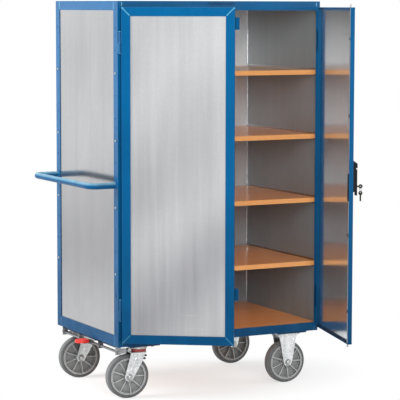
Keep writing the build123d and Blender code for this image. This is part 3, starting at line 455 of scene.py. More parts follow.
coatGrain = coatGrainGroup(coatGrainSettings)
edgeRubAndHighlight = edgeRubAndHighlightGroup(edgeRubAndHighlightSettings)
lowFade = lowFadeGroup(lowFadeSettings)
scuffs = scuffGroup(scuffSettings)
zincSheet = zincSheetGroup(zincSheetSettings)
reflectionBand = reflectionBandGroup(reflectionBandSettings)
beechGrain = beechGrainGroup(beechGrainSettings)
mouldGrain = mouldGrainGroup(mouldGrainSettings)
recessShade = recessShadeGroup(recessShadeSettings)
roomFace = roomFaceGroup(roomFaceSettings)
outerFace = outerFaceGroup(outerFaceSettings)
treadWear = treadWearGroup(treadWearSettings)
topHighlight = topHighlightGroup(topHighlightSettings)
print("surface effects made")


# materials


def newMaterial(name):
    material = bpy.data.materials.new(name)
    material.use_nodes = True
    tree = material.node_tree
    return material, tree, tree.nodes["Principled BSDF"]


def tinted(tree, colour, shade):
    grey = makeNode(tree, "ShaderNodeCombineColor", None, {0: shade, 1: shade, 2: shade}).outputs[0]
    return mixColour(tree, 1.0, colour, grey, "MULTIPLY")


def darker(colour, share):
    return tuple(share * part for part in colour)


def addBump(tree, shader, height, strength, distance):
    inputs = {"Strength": strength, "Distance": distance, "Height": height}
    tree.links.new(makeNode(tree, "ShaderNodeBump", None, inputs).outputs[0], shader.inputs["Normal"])


paintSettings = {
    "blue": (0.001, 0.08, 0.205),
    "rubbed": (0.1, 0.28, 0.45),
    "rubShare": 0.55,
    "markShare": 0.25,
    # dark blue towards the bottom: dust, and painted shade
    "dustAndShade": (0.002, 0.025, 0.065),
    "seamShade": 0.2,
    "paintedHighlight": None,  # tone of the top, a painted highlight
    "roughness": (0.24, 0.38),
    "dustRoughness": 0.15,
    "specular": 0.04,
    "sheen": (0.02, 0.16),  # facing values between which the gloss comes in
    "gloss": 0.65,
    "dulled": (0.8, 0.1),  # at this much dust and painted shade, this share of the gloss is left
    "coatRoughness": 0.16,
    "bump": (0.12, 0.0004),
}


def paintMaterial(name, settings):
    material, tree, shader = newMaterial(name)
    grain = useGroup(tree, coatGrain, Peel=700.0, Cloud=4.0)
    rubAndHighlight = useGroup(tree, edgeRubAndHighlight, Width=0.002, Breakup=45.0)["Mask"]
    dustAndShade = useGroup(tree, lowFade, Reach=1.7, Amount=1.0, Clear=0.75, Fall=1.6)["Mask"]
    marks = useGroup(tree, scuffs, Density=0.35, Size=7.0)["Mask"]
    seamShadeMask = useGroup(tree, recessShade, Reach=0.007, Amount=0.8)["Mask"]
    colour = tinted(tree, settings["blue"], grain["Shade"])
    colour = mixColour(tree, times(tree, rubAndHighlight, settings["rubShare"]), colour, settings["rubbed"])
    colour = mixColour(tree, times(tree, marks, settings["markShare"]), colour, settings["rubbed"])
    # dust and painted shade: the blue darkens towards the bottom
    colour = mixColour(tree, dustAndShade, colour, settings["dustAndShade"])
    # painted highlight along the top
    if settings["paintedHighlight"]:
        top = useGroup(tree, topHighlight, Low=0.1, High=0.85)["Mask"]
        colour = mixColour(tree, top, colour, settings["paintedHighlight"])
    # painted shade in seams and holes
    colour = mixColour(tree, seamShadeMask, colour, darker(settings["blue"], settings["seamShade"]))
    tree.links.new(colour, shader.inputs["Base Color"])
    rough = remap(tree, grain["Gloss"], 0.0, 1.0, *settings["roughness"])
    rough = plus(tree, rough, times(tree, dustAndShade, settings["dustRoughness"]), True)
    tree.links.new(rough, shader.inputs["Roughness"])
    shader.inputs["Specular IOR Level"].default_value = settings["specular"]
    facing = makeNode(tree, "ShaderNodeLayerWeight", None, {"Blend": 0.5}).outputs["Facing"]
    shine = remap(tree, facing, *settings["sheen"], 0.0, settings["gloss"])
    dustiest, leftOver = settings["dulled"]
    shine = times(tree, shine, remap(tree, dustAndShade, 0.0, dustiest, 1.0, leftOver))
    tree.links.new(shine, shader.inputs["Coat Weight"])
    shader.inputs["Coat Roughness"].default_value = settings["coatRoughness"]
    addBump(tree, shader, grain["Height"], *settings["bump"])
    return material


sheetSettings = {
    "zinc": (0.6, 0.605, 0.61),
    "metallic": 0.94,
    "glossSpan": (0.2, 0.8),
    "roughness": (0.1, 0.2),
    # painted shade: a darker tone towards the bottom
    "lowShade": (0.27, 0.27, 0.285),
    "mark": (0.8, 0.8, 0.8),
    "markShare": 0.3,
    "bump": (0.012, 0.0001),
    "band": (0.64, 0.635, 0.66),  # tone of the soft dark bands, a painted reflection
    "wallBand": {"AlongX": 0.0, "AlongY": -1.0, "Slope": 0.2, "Period": 0.9, "Start": 0.84},
    "doorBand": {"Slope": 0.82, "Period": 0.64, "Start": 0.6},
    "inside": (0.45, 0.48, 0.49),  # the walls at the top of the room, darkening to insideLow below, a painted shade
    "insideLow": (0.24, 0.31, 0.35),
    "insideFall": 0.5,
    "insideMetallic": 0.35,
    "insideRough": 0.25,
    "outerSkin": 0.0004,  # a point this near to a wall's outer face belongs to it
    # the doors' inner faces get paler towards the bottom, a painted light
    "doorInside": (0.6, 0.61, 0.62),
    "doorInsideLow": (0.9, 0.92, 0.94),
    "outside": (0.345, 0.348, 0.351),  # the doors' outer faces are satin
    "outsideMetallic": 0.4,
    "outsideRough": 0.3,
}


def sheetMaterial(name, settings, dullInside=False, outward=None):
    material, tree, shader = newMaterial(name)
    grain = useGroup(tree, zincSheet, Spangle=240.0, Lines=420.0)
    marks = useGroup(tree, scuffs, Density=0.5, Size=5.0)["Mask"]
    # painted shade: the sheet darkens towards the bottom
    lowShade = useGroup(tree, lowFade, Reach=1.9, Amount=0.55, Clear=0.85)["Mask"]
    colour = tinted(tree, settings["outside" if outward else "zinc"], grain["Shade"])
    colour = mixColour(tree, lowShade, colour, settings["lowShade"])
    bandInputs = settings["wallBand"]
    if outward:
        bandInputs = {**settings["doorBand"], "AlongX": -outward.y, "AlongY": outward.x}
    band = useGroup(tree, reflectionBand, **bandInputs)["Mask"]
    colour = mixColour(tree, band, colour, settings["band"], "MULTIPLY")
    rough = remap(tree, grain["Gloss"], *settings["glossSpan"], *settings["roughness"])
    shader.inputs["Metallic"].default_value = settings["metallic"]
    dull = None
    if outward:  # a door is satin outside, and pale and glossy inside, paler towards the bottom, a painted light
        dull, kind = useGroup(tree, outerFace, OutX=outward.x, OutY=outward.y)["Mask"], "outside"
        paintedLowLight = useGroup(tree, lowFade, Reach=1.9, Amount=1.0, Clear=0.85)["Mask"]
        inner = mixColour(tree, paintedLowLight, settings["doorInside"], settings["doorInsideLow"])
        colour = mixColour(tree, dull, tinted(tree, inner, grain["Shade"]), colour)
    colour = mixColour(tree, times(tree, marks, settings["markShare"]), colour, settings["mark"])
    if dullInside:  # a wall is matt inside, and darker low down, a painted shade
        halfWidth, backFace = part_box("end_panels")[1].x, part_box("back_panel")[1].y
        halfWidth, backFace = halfWidth - settings["outerSkin"], backFace - settings["outerSkin"]
        dull, kind = useGroup(tree, roomFace, HalfWidth=halfWidth, BackFace=backFace)["Mask"], "inside"
        fall = settings["insideFall"]
        fade = useGroup(tree, lowFade, Reach=1.72, Amount=1.0, Clear=0.9, Fall=fall)["Mask"]
        wall = mixColour(tree, fade, settings["inside"], settings["insideLow"])
        colour = mixColour(tree, dull, colour, tinted(tree, wall, grain["Shade"]))
    if dull:
        rough = plus(tree, rough, times(tree, dull, settings[kind + "Rough"]), True)
        metal = remap(tree, dull, 0.0, 1.0, settings["metallic"], settings[kind + "Metallic"])
        tree.links.new(metal, shader.inputs["Metallic"])
    tree.links.new(colour, shader.inputs["Base Color"])
    tree.links.new(rough, shader.inputs["Roughness"])
    addBump(tree, shader, grain["Height"], *settings["bump"])
    return material


boardSettings = {
    "light": (0.96, 0.425, 0.13),
    "dark": (0.86, 0.36, 0.104),
    "fleck": (0.6, 0.26, 0.08),
    "fleckShare": 0.3,
    "rubbed": (0.85, 0.6, 0.36),
    "rubShare": 0.35,
    "band": (0.68, 0.68, 0.66),  # shade of the boards' front faces, a painted shade
    "roughness": (0.28, 0.4),
    "varnish": 0.45,
    "varnishRoughness": 0.14,
    "bump": (0.1, 0.0002),
}


def boardMaterial(name, settings):
    material, tree, shader = newMaterial(name)
    grain = useGroup(tree, beechGrain, Figure=7.0)
    rubAndHighlight = useGroup(tree, edgeRubAndHighlight, Width=0.0025, Breakup=35.0)["Mask"]
    front = useGroup(tree, outerFace, OutX=0.0, OutY=-1.0)["Mask"]
    colour = mixColour(tree, grain["Tone"], settings["dark"], settings["light"])
    colour = mixColour(tree, times(tree, grain["Fleck"], settings["fleckShare"]), colour, settings["fleck"])
    colour = mixColour(tree, times(tree, rubAndHighlight, settings["rubShare"]), colour, settings["rubbed"])
    # painted shade on the boards' front faces
    colour = mixColour(tree, front, colour, settings["band"], "MULTIPLY")
    tree.links.new(colour, shader.inputs["Base Color"])
    low, high = settings["roughness"]
    tree.links.new(remap(tree, grain["Tone"], 0.0, 1.0, high, low), shader.inputs["Roughness"])
    shader.inputs["Coat Weight"].default_value = settings["varnish"]
    shader.inputs["Coat Roughness"].default_value = settings["varnishRoughness"]
    addBump(tree, shader, grain["Height"], *settings["bump"])
    return material


platedSettings = {
    "patina": (0.36, 0.62),
    "patinaShade": 0.4,
    "mark": (0.3, 0.3, 0.3),
    "markShare": 0.35,
    "dustAndShade": (0.3, 0.29, 0.27),
    "dustShare": 0.6,
    "grimeShade": 0.16,
    "bump": (0.08, 0.0002),
}


def platedMaterial(name, colour, roughness, mottle=0.35, grime=0.6):
    settings = platedSettings
    material, tree, shader = newMaterial(name)
    grain = useGroup(tree, mouldGrain, Grain=900.0)
    dustAndShade = useGroup(tree, lowFade, Reach=0.3, Amount=0.3)["Mask"]
    marks = useGroup(tree, scuffs, Density=0.6, Size=20.0)["Mask"]
    recessShadeMask = useGroup(tree, recessShade, Reach=0.03, Amount=grime)["Mask"]
    patina = useGroup(tree, zincSheet, Spangle=150.0, Lines=60.0)["Gloss"]
    patina = remap(tree, patina, *settings["patina"])
    tone = tinted(tree, colour, grain["Shade"])
    tone = mixColour(tree, times(tree, patina, mottle), tone, darker(colour, settings["patinaShade"]))
    tone = mixColour(tree, times(tree, marks, settings["markShare"]), tone, settings["mark"])
    tone = mixColour(tree, times(tree, dustAndShade, settings["dustShare"]), tone, settings["dustAndShade"])
    # painted shade in recesses
    tone = mixColour(tree, recessShadeMask, tone, darker(colour, settings["grimeShade"]))
    tree.links.new(tone, shader.inputs["Base Color"])
    tree.links.new(spread(tree, grain["Gloss"], *roughness), shader.inputs["Roughness"])
    shader.inputs["Metallic"].default_value = 1.0
    addBump(tree, shader, grain["Height"], *settings["bump"])
    return material


mouldedSettings = {
    "dusty": 0.2,
    "dustAndShade": (0.36, 0.35, 0.33),
    "grime": 0.3,
    "grimeShade": 0.3,
    "edge": 0.0015,  # width of the edges that take the wear and highlight tone
    "cover": 0.0,  # least wear and highlight tone on an edge
    "wornShare": 0.5,
    "tread": None,
    "specular": 0.5,
    "bump": (0.15, 0.0002),
}


def mouldedMaterial(name, colour, worn, roughness, **changes):
    settings = {**mouldedSettings, **changes}
    material, tree, shader = newMaterial(name)
    shader.inputs["Specular IOR Level"].default_value = settings["specular"]
    grain = useGroup(tree, mouldGrain, Grain=1500.0)
    rubAndHighlight = useGroup(tree, edgeRubAndHighlight, Width=settings["edge"], Breakup=80.0, Cover=settings["cover"])["Mask"]
    dustAndShade = useGroup(tree, lowFade, Reach=0.35, Amount=settings["dusty"])["Mask"]
    recessShadeMask = useGroup(tree, recessShade, Reach=0.02, Amount=settings["grime"])["Mask"]
    tone = tinted(tree, colour, grain["Shade"])
    # painted shade in recesses
    tone = mixColour(tree, recessShadeMask, tone, darker(colour, settings["grimeShade"]))
    tone = mixColour(tree, times(tree, rubAndHighlight, settings["wornShare"]), tone, worn)
    tone = mixColour(tree, dustAndShade, tone, settings["dustAndShade"])
    if settings["tread"]:
        tone = mixColour(tree, useGroup(tree, treadWear, Patch=40.0)["Mask"], tone, settings["tread"])
    tree.links.new(tone, shader.inputs["Base Color"])
    tree.links.new(spread(tree, grain["Gloss"], *roughness), shader.inputs["Roughness"])
    addBump(tree, shader, grain["Height"], *settings["bump"])
    return material


# the welds, hinge caps and corner dots are painted a lighter blue than the frame, a painted highlight
weldHighlightTones = {"blue": (0.05, 0.26, 0.42), "rubbed": (0.4, 0.6, 0.7)}
# the steel under the frame gets a dark navy copy of the blue paint, a painted shade
underShadeTones = {"blue": (0.012, 0.03, 0.07), "rubbed": (0.1, 0.12, 0.16)}
# the handle's blue is darker than the frame's, a painted shade, with a painted highlight along its top
handleTones = {"blue": (0.001, 0.065, 0.17), "paintedHighlight": (0.17, 0.34, 0.44)}
# the back wall inside: near white at the top, a painted light, and dark low down, a painted shade
backSettings = {
    **sheetSettings,
    "inside": (0.95, 0.98, 1.0),
    "insideLow": (0.12, 0.15, 0.18),
    "insideFall": 1.0,
    "insideMetallic": 0.6,
    "insideRough": 0.5,
}

bluePaint = paintMaterial("bluePaint", paintSettings)
weldHighlightPaint = paintMaterial("weldHighlightPaint", {**paintSettings, **weldHighlightTones})
hingePaint = paintMaterial("hingePaint", {**paintSettings, "gloss": 1.0, "sheen": (0.0, 0.05)})
underShadePaint = paintMaterial("underShadePaint", {**paintSettings, **underShadeTones})
handlePaint = paintMaterial("handlePaint", {**paintSettings, **handleTones, "gloss": 0.2})
zincLeftDoor, zincRightDoor = (
    sheetMaterial(name, sheetSettings, outward=doorPlace(side).to_3x3() @ Vector((0.0, -1.0, 0.0)))
    for name, side in (("zincLeftDoor", -1), ("zincRightDoor", 1))
)
zincWall = sheetMaterial("zincWall", sheetSettings, dullInside=True)
zincBack = sheetMaterial("zincBack", backSettings, dullInside=True)
zincAngle = sheetMaterial("zincAngle", {**sheetSettings, "zinc": (0.55, 0.555, 0.56)})
beechBoard = boardMaterial("beechBoard", boardSettings)
brightZinc = platedMaterial("brightZinc", (0.84, 0.86, 0.87), (0.2, 0.34), mottle=0.42, grime=0.75)
dullZinc = platedMaterial("dullZinc", (0.4, 0.41, 0.42), (0.28, 0.42), mottle=0.5, grime=0.8)
screwZinc = platedMaterial("screwZinc", (0.5, 0.58, 0.64), (0.3, 0.45))
turnedSteel = platedMaterial("turnedSteel", (0.55, 0.55, 0.55), (0.25, 0.4))
nickel = platedMaterial("nickel", (0.72, 0.7, 0.66), (0.15, 0.3))
keySteel = platedMaterial("keySteel", (0.045, 0.042, 0.037), (0.25, 0.4))
redMoulding = mouldedMaterial("redMoulding", (0.28, 0.018, 0.014), (0.5, 0.12, 0.1), (0.3, 0.5))
redPaint = mouldedMaterial(
    "redPaint", (0.6, 0.018, 0.01), (0.7, 0.3, 0.26), (0.25, 0.42), dusty=0.12, grime=0.9
)
# the rim's edges and ribs take a pale painted highlight, and its recesses painted shade
greyRim = mouldedMaterial(
    "greyRim", (0.2, 0.205, 0.205), (0.75, 0.76, 0.75), (0.4, 0.6),
    dusty=0.1, grime=0.5, edge=0.004, cover=0.9, wornShare=0.9,
)
greyTyre = mouldedMaterial(
    "greyTyre", (0.075, 0.077, 0.08), (0.16, 0.16, 0.16), (0.55, 0.75),
    dusty=0.1, grime=0.4, tread=(0.15, 0.155, 0.155),
)
blackLock = mouldedMaterial(
    "blackLock", (0.009, 0.009, 0.0105), (0.05, 0.05, 0.05), (0.4, 0.6), specular=0.1
)
darkCover = mouldedMaterial(
    "darkCover", (0.02, 0.022, 0.027), (0.15, 0.15, 0.16), (0.35, 0.5), specular=0.2
)

slotMaterials = {
    "blue_paint": bluePaint,
    "blue_hinge": hingePaint,
    "under_steel": underShadePaint,
    "support_steel": zincAngle,
    "closing_steel": bluePaint,
    "beech_board": beechBoard,
    "zinc_screws": screwZinc,
    "pin_steel": turnedSteel,
    "zinc_castor": brightZinc,
    "zinc_axle": brightZinc,
    "red_seal": redMoulding,
    "red_pedal": redPaint,
    "zinc_brake": dullZinc,
    "grey_rim": greyRim,
    "grey_tyre": greyTyre,
    "black_lock": blackLock,
    "lock_cover": darkCover,
    "rod_steel": turnedSteel,
    "cylinder_steel": nickel,
    "key_steel": keySteel,
}

nodeMaterials = {  # nodes with a finish of their own
    "end_panels": zincWall,
    "back_panel": zincBack,
    "left_door_sheet": zincLeftDoor,
    "right_door_sheet": zincRightDoor,
    "push_handle": handlePaint,
}


def dressNodes():
    for part in frame["record"]["subparts"]:
        mesh = nodes[part["node"]].data
        mesh.materials.clear()
        mesh.materials.append(nodeMaterials.get(part["node"]) or slotMaterials[part["material_slot"]])


dressNodes()
print("materials placed")


# small pieces that the solids leave plain

still = Matrix.Identity(4)
sharpAngle = 40.0  # degrees


def addPiece(name, work, material, body):
    mesh = bpy.data.meshes.new(name)
    bmesh.ops.recalc_face_normals(work, faces=work.faces)
    work.to_mesh(mesh)
    work.free()
    mesh.shade_smooth()
    mesh.set_sharp_from_angle(angle=math.radians(sharpAngle))
    mesh.materials.append(material)
    piece = bpy.data.objects.new(name, mesh)
    scene.collection.objects.link(piece)
    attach(piece, body)


def joinRows(work, rows):
    for low, high in zip(rows, rows[1:]):
        count = len(low)
        for index in range(count):
            after = (index + 1) % count
            work.faces.new((low[index], low[after], high[after], high[index]))


def capEnds(work, rows):
    work.faces.new(rows[0])
    work.faces.new(rows[-1])


def turnOn(work, profile, place, hollow=False, steps=40):
    rows = []
    for radius, height in profile:
        turns = [2 * math.pi * step / steps for step in range(steps)]
        spots = [Vector((radius * math.cos(turn), radius * math.sin(turn), height)) for turn in turns]
        rows.append([work.verts.new(place @ spot) for spot in spots])
    if hollow:
        joinRows(work, rows + rows[:1])
        return
    joinRows(work, rows)
    capEnds(work, rows)


beadShape = {
    "corners": 9,
    "leastRows": 12,
    "rowsPerRipple": 6,
    "ripple": 0.16,
    "endSize": 0.25,  # share of the size at the very ends
    "runOut": 9.0,
    "sink": 0.1,
}


def beadOn(work, start, end, outward, size, place, ripples=0, shape=beadShape):
    width, height = size
    start, end, outward = Vector(start), Vector(end), Vector(outward).normalized()
    along = end - start
    side = along.cross(outward).normalized()
    count = max(shape["leastRows"], ripples * shape["rowsPerRipple"])
    rows = []
    for index in range(count + 1):
        share = index / count
        swell = 1.0 + shape["ripple"] * math.sin(2 * math.pi * ripples * share)
        swell *= min(1.0, *(shape["endSize"] + shape["runOut"] * gap for gap in (share, 1.0 - share)))
        row = []
        for corner in range(shape["corners"]):
            turn = math.pi * corner / (shape["corners"] - 1)
            offset = side * (0.5 * width * swell * math.cos(turn))
            offset += outward * (height * (swell * math.sin(turn) - shape["sink"]))
            row.append(work.verts.new(place @ (start + along * share + offset)))
        rows.append(row)
    joinRows(work, rows)
    capEnds(work, rows)


def pointing(place, direction):
    return Matrix.Translation(place) @ Vector(direction).to_track_quat("Z", "Y").to_matrix().to_4x4()


mitreSettings = {
    "edges": (0.001, 0.504),  # free edge and hinge edge of a closed door
    "heights": (0.272, 1.773),
    "face": -0.369,
    "span": (0.003, 0.038),
    "bead": (0.005, 0.0011),
    "ripples": 14,
    "dot": ((0.0042, 0.0), (0.004, 0.0005), (0.0028, 0.001), (0.001, 0.0012)),
    "dotInset": 0.005,
    "dotSteps": 20,
}


def addMitreWelds(settings):
    ahead, inset = (0, -1, 0), settings["dotInset"]
    for side in (-1, 1):
        work, dots = bmesh.new(), bmesh.new()
        place = doorPlace(side)
        for edge, inward in zip(settings["edges"], (1, -1)):
            for height, upward in zip(settings["heights"], (1, -1)):
                *ends, corner = (
                    (side * (edge + inward * reach), settings["face"], height + upward * reach)
                    for reach in (*settings["span"], inset)
                )
                beadOn(work, *ends, ahead, settings["bead"], place, settings["ripples"])
                turnOn(dots, settings["dot"], place @ pointing(corner, ahead), steps=settings["dotSteps"])
        addPiece(doorNames[side] + "DoorWelds", work, weldHighlightPaint, doorBodies[side])
        addPiece(doorNames[side] + "DoorCornerDots", dots, weldHighlightPaint, doorBodies[side])


seamSettings = {
    "halfLength": 0.52,
    "halfDepth": 0.348,
    "endSeam": 0.303,
    "frontSeam": 0.5,
    "endHeights": ((0.253, 0.296), (1.762, 1.795)),
    "backHeights": ((0.253, 0.287), (1.762, 1.795)),
    "frontHeights": ((0.252, 0.269), (1.777, 1.795)),  # clear of the closed doors
    "bead": (0.005, 0.0007),
    "ripples": 10,
}


def addSeamWelds(settings):
    work = bmesh.new()
    long, deep = settings["halfLength"], settings["halfDepth"]
    endSeam, frontSeam = settings["endSeam"], settings["frontSeam"]
    runs = []
    for side in (-1, 1):
        for run in settings["endHeights"]:
            runs += [((side * long, face * endSeam), run, (side, 0, 0)) for face in (-1, 1)]
        runs += [((side * frontSeam, deep), run, (0, 1, 0)) for run in settings["backHeights"]]
        runs += [((side * frontSeam, -deep), run, (0, -1, 0)) for run in settings["frontHeights"]]
    for spot, (low, high), outward in runs:
        beadOn(work, (*spot, low), (*spot, high), outward, settings["bead"], still, settings["ripples"])
    addPiece("frameWelds", work, weldHighlightPaint, "cabinet")


hingeSettings = {
    "heights": (0.42, 1.617),
    "half": 0.0475,
    "dome": ((0.0069, 0.0), (0.0068, 0.0009), (0.006, 0.0021), (0.0043, 0.003), (0.0018, 0.0034)),
    "bead": (0.0035, 0.001),
    "ripples": 9,
    "lugEdge": 0.0055,
    "lugDrops": (0.045, 0.004),
}


def addHingeDetail(settings):
    frameCaps, lugWelds = bmesh.new(), bmesh.new()
    for side in (-1, 1):
        x, y, _ = jointAt[doorBodies[side] + "_swing"]["pos_m"]
        doorCaps = bmesh.new()
        for height in settings["heights"]:
            turnOn(doorCaps, settings["dome"], pointing((x, y, height + settings["half"]), (0, 0, 1)))
            turnOn(frameCaps, settings["dome"], pointing((x, y, height - settings["half"]), (0, 0, -1)))
            weldX = x + side * settings["lugEdge"]
            ends = [(weldX, -seamSettings["halfDepth"], height - drop) for drop in settings["lugDrops"]]
            beadOn(lugWelds, *ends, (0, -1, 0), settings["bead"], still, settings["ripples"])
        addPiece(doorNames[side] + "HingeCaps", doorCaps, weldHighlightPaint, doorBodies[side])
    addPiece("frameHingeCaps", frameCaps, weldHighlightPaint, "cabinet")
    addPiece("hingeLugWelds", lugWelds, weldHighlightPaint, "cabinet")


collarSettings = {
    "spots": (-0.323, 0.323),
    "height": 0.98,
    "ring": (
        (0.0137, 0.0), (0.0188, 0.0), (0.0182, 0.0012), (0.0164, 0.0026), (0.015, 0.0046), (0.0137, 0.0056),
    ),
}


def addHandleCollars(settings):
    work = bmesh.new()
    for y in settings["spots"]:
        place = pointing((-seamSettings["halfLength"], y, settings["height"]), (-1, 0, 0))
        turnOn(work, settings["ring"], place, True)
    addPiece("handleCollars", work, bluePaint, "cabinet")


leverSettings = {
    "centre": 0.027,
    "face": -0.392,
    "halfLength": 0.0075,
    "lowest": 1.003,
    "pitch": 0.0068,
    "count": 7,
    "rib": (0.003, 0.0009),
    "cylinder": 0.98,
    "rosette": ((0.0084, 0.0), (0.0112, 0.0), (0.0109, 0.0008), (0.0098, 0.0014), (0.0084, 0.0014)),
}


def addLeverDetail(settings):
    place = doorPlace(1)
    ribs, rosette = bmesh.new(), bmesh.new()
    x, face = settings["centre"], settings["face"]
    for index in range(settings["count"]):
        height = settings["lowest"] + settings["pitch"] * index
        ends = [(x + way * settings["halfLength"], face, height) for way in (-1, 1)]
        beadOn(ribs, *ends, (0, -1, 0), settings["rib"], place)
    turnOn(rosette, settings["rosette"], place @ pointing((x, face, settings["cylinder"]), (0, -1, 0)), True)
    addPiece("leverRibs", ribs, blackLock, "lock_lever")
    addPiece("cylinderRosette", rosette, nickel, "lock_lever")


castorSettings = {
    "x": 0.385,
    "y": 0.2684944,
    "legFace": 0.035,
    "headFace": 0.042,
    "cap": ((0.0088, 0.0), (0.0086, 0.001), (0.0074, 0.0021), (0.005, 0.0028), (0.002, 0.0031)),
    "washer": ((0.0105, 0.0), (0.0152, 0.0), (0.0149, 0.0013), (0.0143, 0.0016), (0.0105, 0.0016)),
    "forkRibs": (((-0.019, 0.19), (-0.049, 0.122)),),
    "forkRibSize": (0.009, 0.002),
    "bracketRibs": (((-0.03, 0.212), (-0.0115, 0.122)), ((0.03, 0.212), (0.0115, 0.122))),
    "bracketRibSize": (0.007, 0.0016),
    "stops": ((0.0165, 0.196), (0.0115, 0.1825)),
    "stop": (
        (0.0028, 0.0), (0.0028, 0.005), (0.005, 0.0052), (0.005, 0.0112), (0.0042, 0.0124), (0.0015, 0.0128),
    ),
    "stopDepth": 0.002,  # from the leg's outer face
    "stopSteps": 24,
    "lip": ((0.0398, 0.2285), (0.0414, 0.2285), (0.0418, 0.2295), (0.0412, 0.2316), (0.0398, 0.2326)),
}


def castorPlaces():
    places = {}
    for name, face in (("near", -1), ("far", 1)):
        roll = jointAt[name + "_swivel_roll"]
        axis, axle = Vector(roll["axis"]), Vector(roll["pos_m"])
        turn = Matrix.Rotation(math.atan2(-axis.x, axis.y), 4, "Z")
        place = Matrix.Translation((-castorSettings["x"], face * castorSettings["y"], 0.0)) @ turn
        places[name + "Swivel"] = (place, axle, name + "_fork", name + "_swivel_wheel")
        axle = Vector(jointAt[name + "_fixed_roll"]["pos_m"])
        place = Matrix.Translation((axle.x, axle.y, 0.0))
        places[name + "Fixed"] = (place, axle, "cabinet", name + "_fixed_wheel")
    return places


def addCastorDetail(settings):
    for name, (place, axle, carrier, _) in castorPlaces().items():
        caps, washers, ribs = bmesh.new(), bmesh.new(), bmesh.new()
        local = place.inverted() @ axle
        swivel = name.endswith("Swivel")
        kind = "fork" if swivel else "bracket"
        for side in (-1, 1):
            head = (local.x, side * settings["headFace"], local.z)
            leg = (local.x, side * settings["legFace"], local.z)
            turnOn(caps, settings["cap"], place @ pointing(head, (0, side, 0)))
            turnOn(washers, settings["washer"], place @ pointing(leg, (0, side, 0)), True)
            for run in settings[kind + "Ribs"]:
                ends = [(x, side * settings["legFace"], z) for x, z in run]
                beadOn(ribs, *ends, (0, side, 0), settings[kind + "RibSize"], place)
        if swivel:  # ends of the two stop screws on the leading edge
            stops = bmesh.new()
            y = settings["stopDepth"] - settings["legFace"]
            for x, z in settings["stops"]:
                spot = place @ pointing((x, y, z), (1, 0, 0))
                turnOn(stops, settings["stop"], spot, steps=settings["stopSteps"])
            addPiece(name + "StopScrews", stops, blackLock, carrier)
        addPiece(name + "AxleCaps", caps, turnedSteel, carrier)
        addPiece(name + "AxleWashers", washers, dullZinc, carrier)
        addPiece(name + "LegRibs", ribs, brightZinc, carrier)
    lips = bmesh.new()
    for face in (-1, 1):
        turnOn(lips, settings["lip"], Matrix.Translation((-settings["x"], face * settings["y"], 0.0)), True)
    addPiece("raceLips", lips, brightZinc, "cabinet")


tyreSettings = {
    "rings": (0.0868, 0.0895),
    "side": 0.0199,
    "line": ((-0.0007, 0.0), (-0.0004, 0.0006), (0.0, 0.0008), (0.0004, 0.0006), (0.0007, 0.0)),
    "steps": 72,
}


def addTyreRings(settings):
    for name, (place, axle, _, wheel) in castorPlaces().items():
        work = bmesh.new()
        local = place.inverted() @ axle
        for side in (-1, 1):
            middle = place @ pointing((local.x, side * settings["side"], local.z), (0, side, 0))
            for radius in settings["rings"]:
                profile = [(radius + out, up) for out, up in settings["line"]]
                turnOn(work, profile, middle, True, settings["steps"])
        addPiece(name + "TyreRings", work, greyTyre, wheel)


pedalSettings = {
    "x": -0.544,
    "top": 0.2355,
    "radius": 0.0285,
    "pitch": 0.0085,
    "each": 3,  # ridges each side of the middle one
    "ridge": (0.0036, 0.0013),
}


def addPedalRidges(settings):
    work = bmesh.new()
    for index in range(-settings["each"], settings["each"] + 1):
        off = settings["pitch"] * index
        half = math.sqrt(settings["radius"] ** 2 - off ** 2)
        ends = [(settings["x"] + off, way * half, settings["top"]) for way in (-1, 1)]
        beadOn(work, *ends, (0, 0, 1), settings["ridge"], still)
    addPiece("pedalRidges", work, redPaint, "brake")


cornerSettings = {
    "x": 0.5148,
    "y": 0.3428,
    "heights": (0.2906, 1.757),
    "fold": (0.006, 0.0028),
}


def addCornerFolds(settings):
    work = bmesh.new()
    low, high = settings["heights"]
    for side in (-1, 1):
        spot = (side * settings["x"], settings["y"])
        beadOn(work, (*spot, low), (*spot, high), (-side, -1, 0), settings["fold"], still)
    addPiece("cornerFolds", work, brightZinc, "cabinet")


addMitreWelds(mitreSettings)
addSeamWelds(seamSettings)
addHingeDetail(hingeSettings)
addHandleCollars(collarSettings)
addLeverDetail(leverSettings)
addCastorDetail(castorSettings)
addTyreRings(tyreSettings)
addPedalRidges(pedalSettings)
addCornerFolds(cornerSettings)
print("small pieces added")


# floor, light and background

stageSettings = {
    "floorSize": 2400.0,
    "floorColour": (0.92, 0.92, 0.92, 1.0),
    "floorRoughness": 0.9,
    "nearRadius": 0.34,
    "farRadius": 0.62,
    "nearGlow": 0.62,
    "squeeze": (0.66, 1.0, 1.0),  # the shadow follows the long footprint
    "skyColour": (0.96, 0.98, 1.0, 1.0),
    "skyLevel": 0.42,
    "white": {"Color": (1.0, 1.0, 1.0, 1.0), "Strength": 1.0},
}


def viewRays(tree):
    path = makeNode(tree, "ShaderNodeLightPath").outputs
    seen = mathNode(tree, "MAXIMUM", path["Is Camera Ray"], path["Is Glossy Ray"])
    return mathNode(tree, "MAXIMUM", seen, path["Is Transmission Ray"])


def mixShaders(tree, share, first, second):
    return makeNode(tree, "ShaderNodeMixShader", None, {0: share, 1: first, 2: second}).outputs[0]


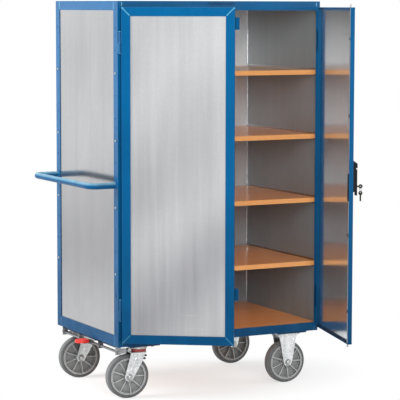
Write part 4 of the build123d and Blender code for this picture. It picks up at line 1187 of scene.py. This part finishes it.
def makeFloor(settings):
    mesh = bpy.data.meshes.new("studioFloor")
    half = settings["floorSize"] / 2
    corners = [(-half, -half, 0), (half, -half, 0), (half, half, 0), (-half, half, 0)]
    mesh.from_pydata(corners, [], [(0, 1, 2, 3)])
    floor = bpy.data.objects.new("studioFloor", mesh)
    scene.collection.objects.link(floor)
    material, tree, shader = newMaterial("studioFloor")
    shader.inputs["Base Color"].default_value = settings["floorColour"]
    shader.inputs["Roughness"].default_value = settings["floorRoughness"]
    glow = makeNode(tree, "ShaderNodeEmission", None, settings["white"]).outputs[0]
    place = makeNode(tree, "ShaderNodeTexCoord").outputs["Object"]
    oval = stretched(tree, place, settings["squeeze"])
    away = makeNode(tree, "ShaderNodeVectorMath", {"operation": "LENGTH"}, {0: oval}).outputs["Value"]
    glowShare = remap(tree, away, settings["nearRadius"], settings["farRadius"], settings["nearGlow"])
    share = times(tree, viewRays(tree), glowShare)
    surface = mixShaders(tree, share, shader.outputs[0], glow)
    tree.links.new(surface, tree.nodes["Material Output"].inputs["Surface"])
    mesh.materials.append(material)


def makeWorld(settings):
    world = bpy.data.worlds.new("studioWorld")
    scene.world = world
    world.use_nodes = True
    tree = world.node_tree
    tree.nodes.clear()
    sky = {"Color": settings["skyColour"], "Strength": settings["skyLevel"]}
    light = makeNode(tree, "ShaderNodeBackground", None, sky).outputs[0]
    white = makeNode(tree, "ShaderNodeBackground", None, settings["white"]).outputs[0]
    out = makeNode(tree, "ShaderNodeOutputWorld")
    tree.links.new(mixShaders(tree, viewRays(tree), light, white), out.inputs[0])


lampSettings = {
    "keyLamp": {"place": (-5.0, 1.0, 3.4), "aim": (0.0, 0.0, 0.9), "size": 3.0, "power": 430.0},
    "frontLamp": {"place": (-1.9, -6.2, 3.0), "aim": (0.1, 0.0, 0.9), "size": 2.8, "power": 300.0},
    "fillLamp": {"place": (4.6, -2.2, 2.2), "aim": (0.0, 0.0, 0.9), "size": 3.0, "power": 110.0},
}
mirroredLamp = "frontLamp"  # the only one that shows in glossy sheets


def makeLamps(lamps):
    for name, item in lamps.items():
        data = bpy.data.lights.new(name, "AREA")
        data.energy = item["power"]
        data.size = item["size"]
        lamp = bpy.data.objects.new(name, data)
        scene.collection.objects.link(lamp)
        aim = Vector(item["aim"]) - Vector(item["place"])
        lamp.location = item["place"]
        lamp.rotation_euler = aim.to_track_quat("-Z", "Y").to_euler()
        lamp.visible_glossy = name == mirroredLamp


makeFloor(stageSettings)
makeWorld(stageSettings)
makeLamps(lampSettings)
print("stage set")
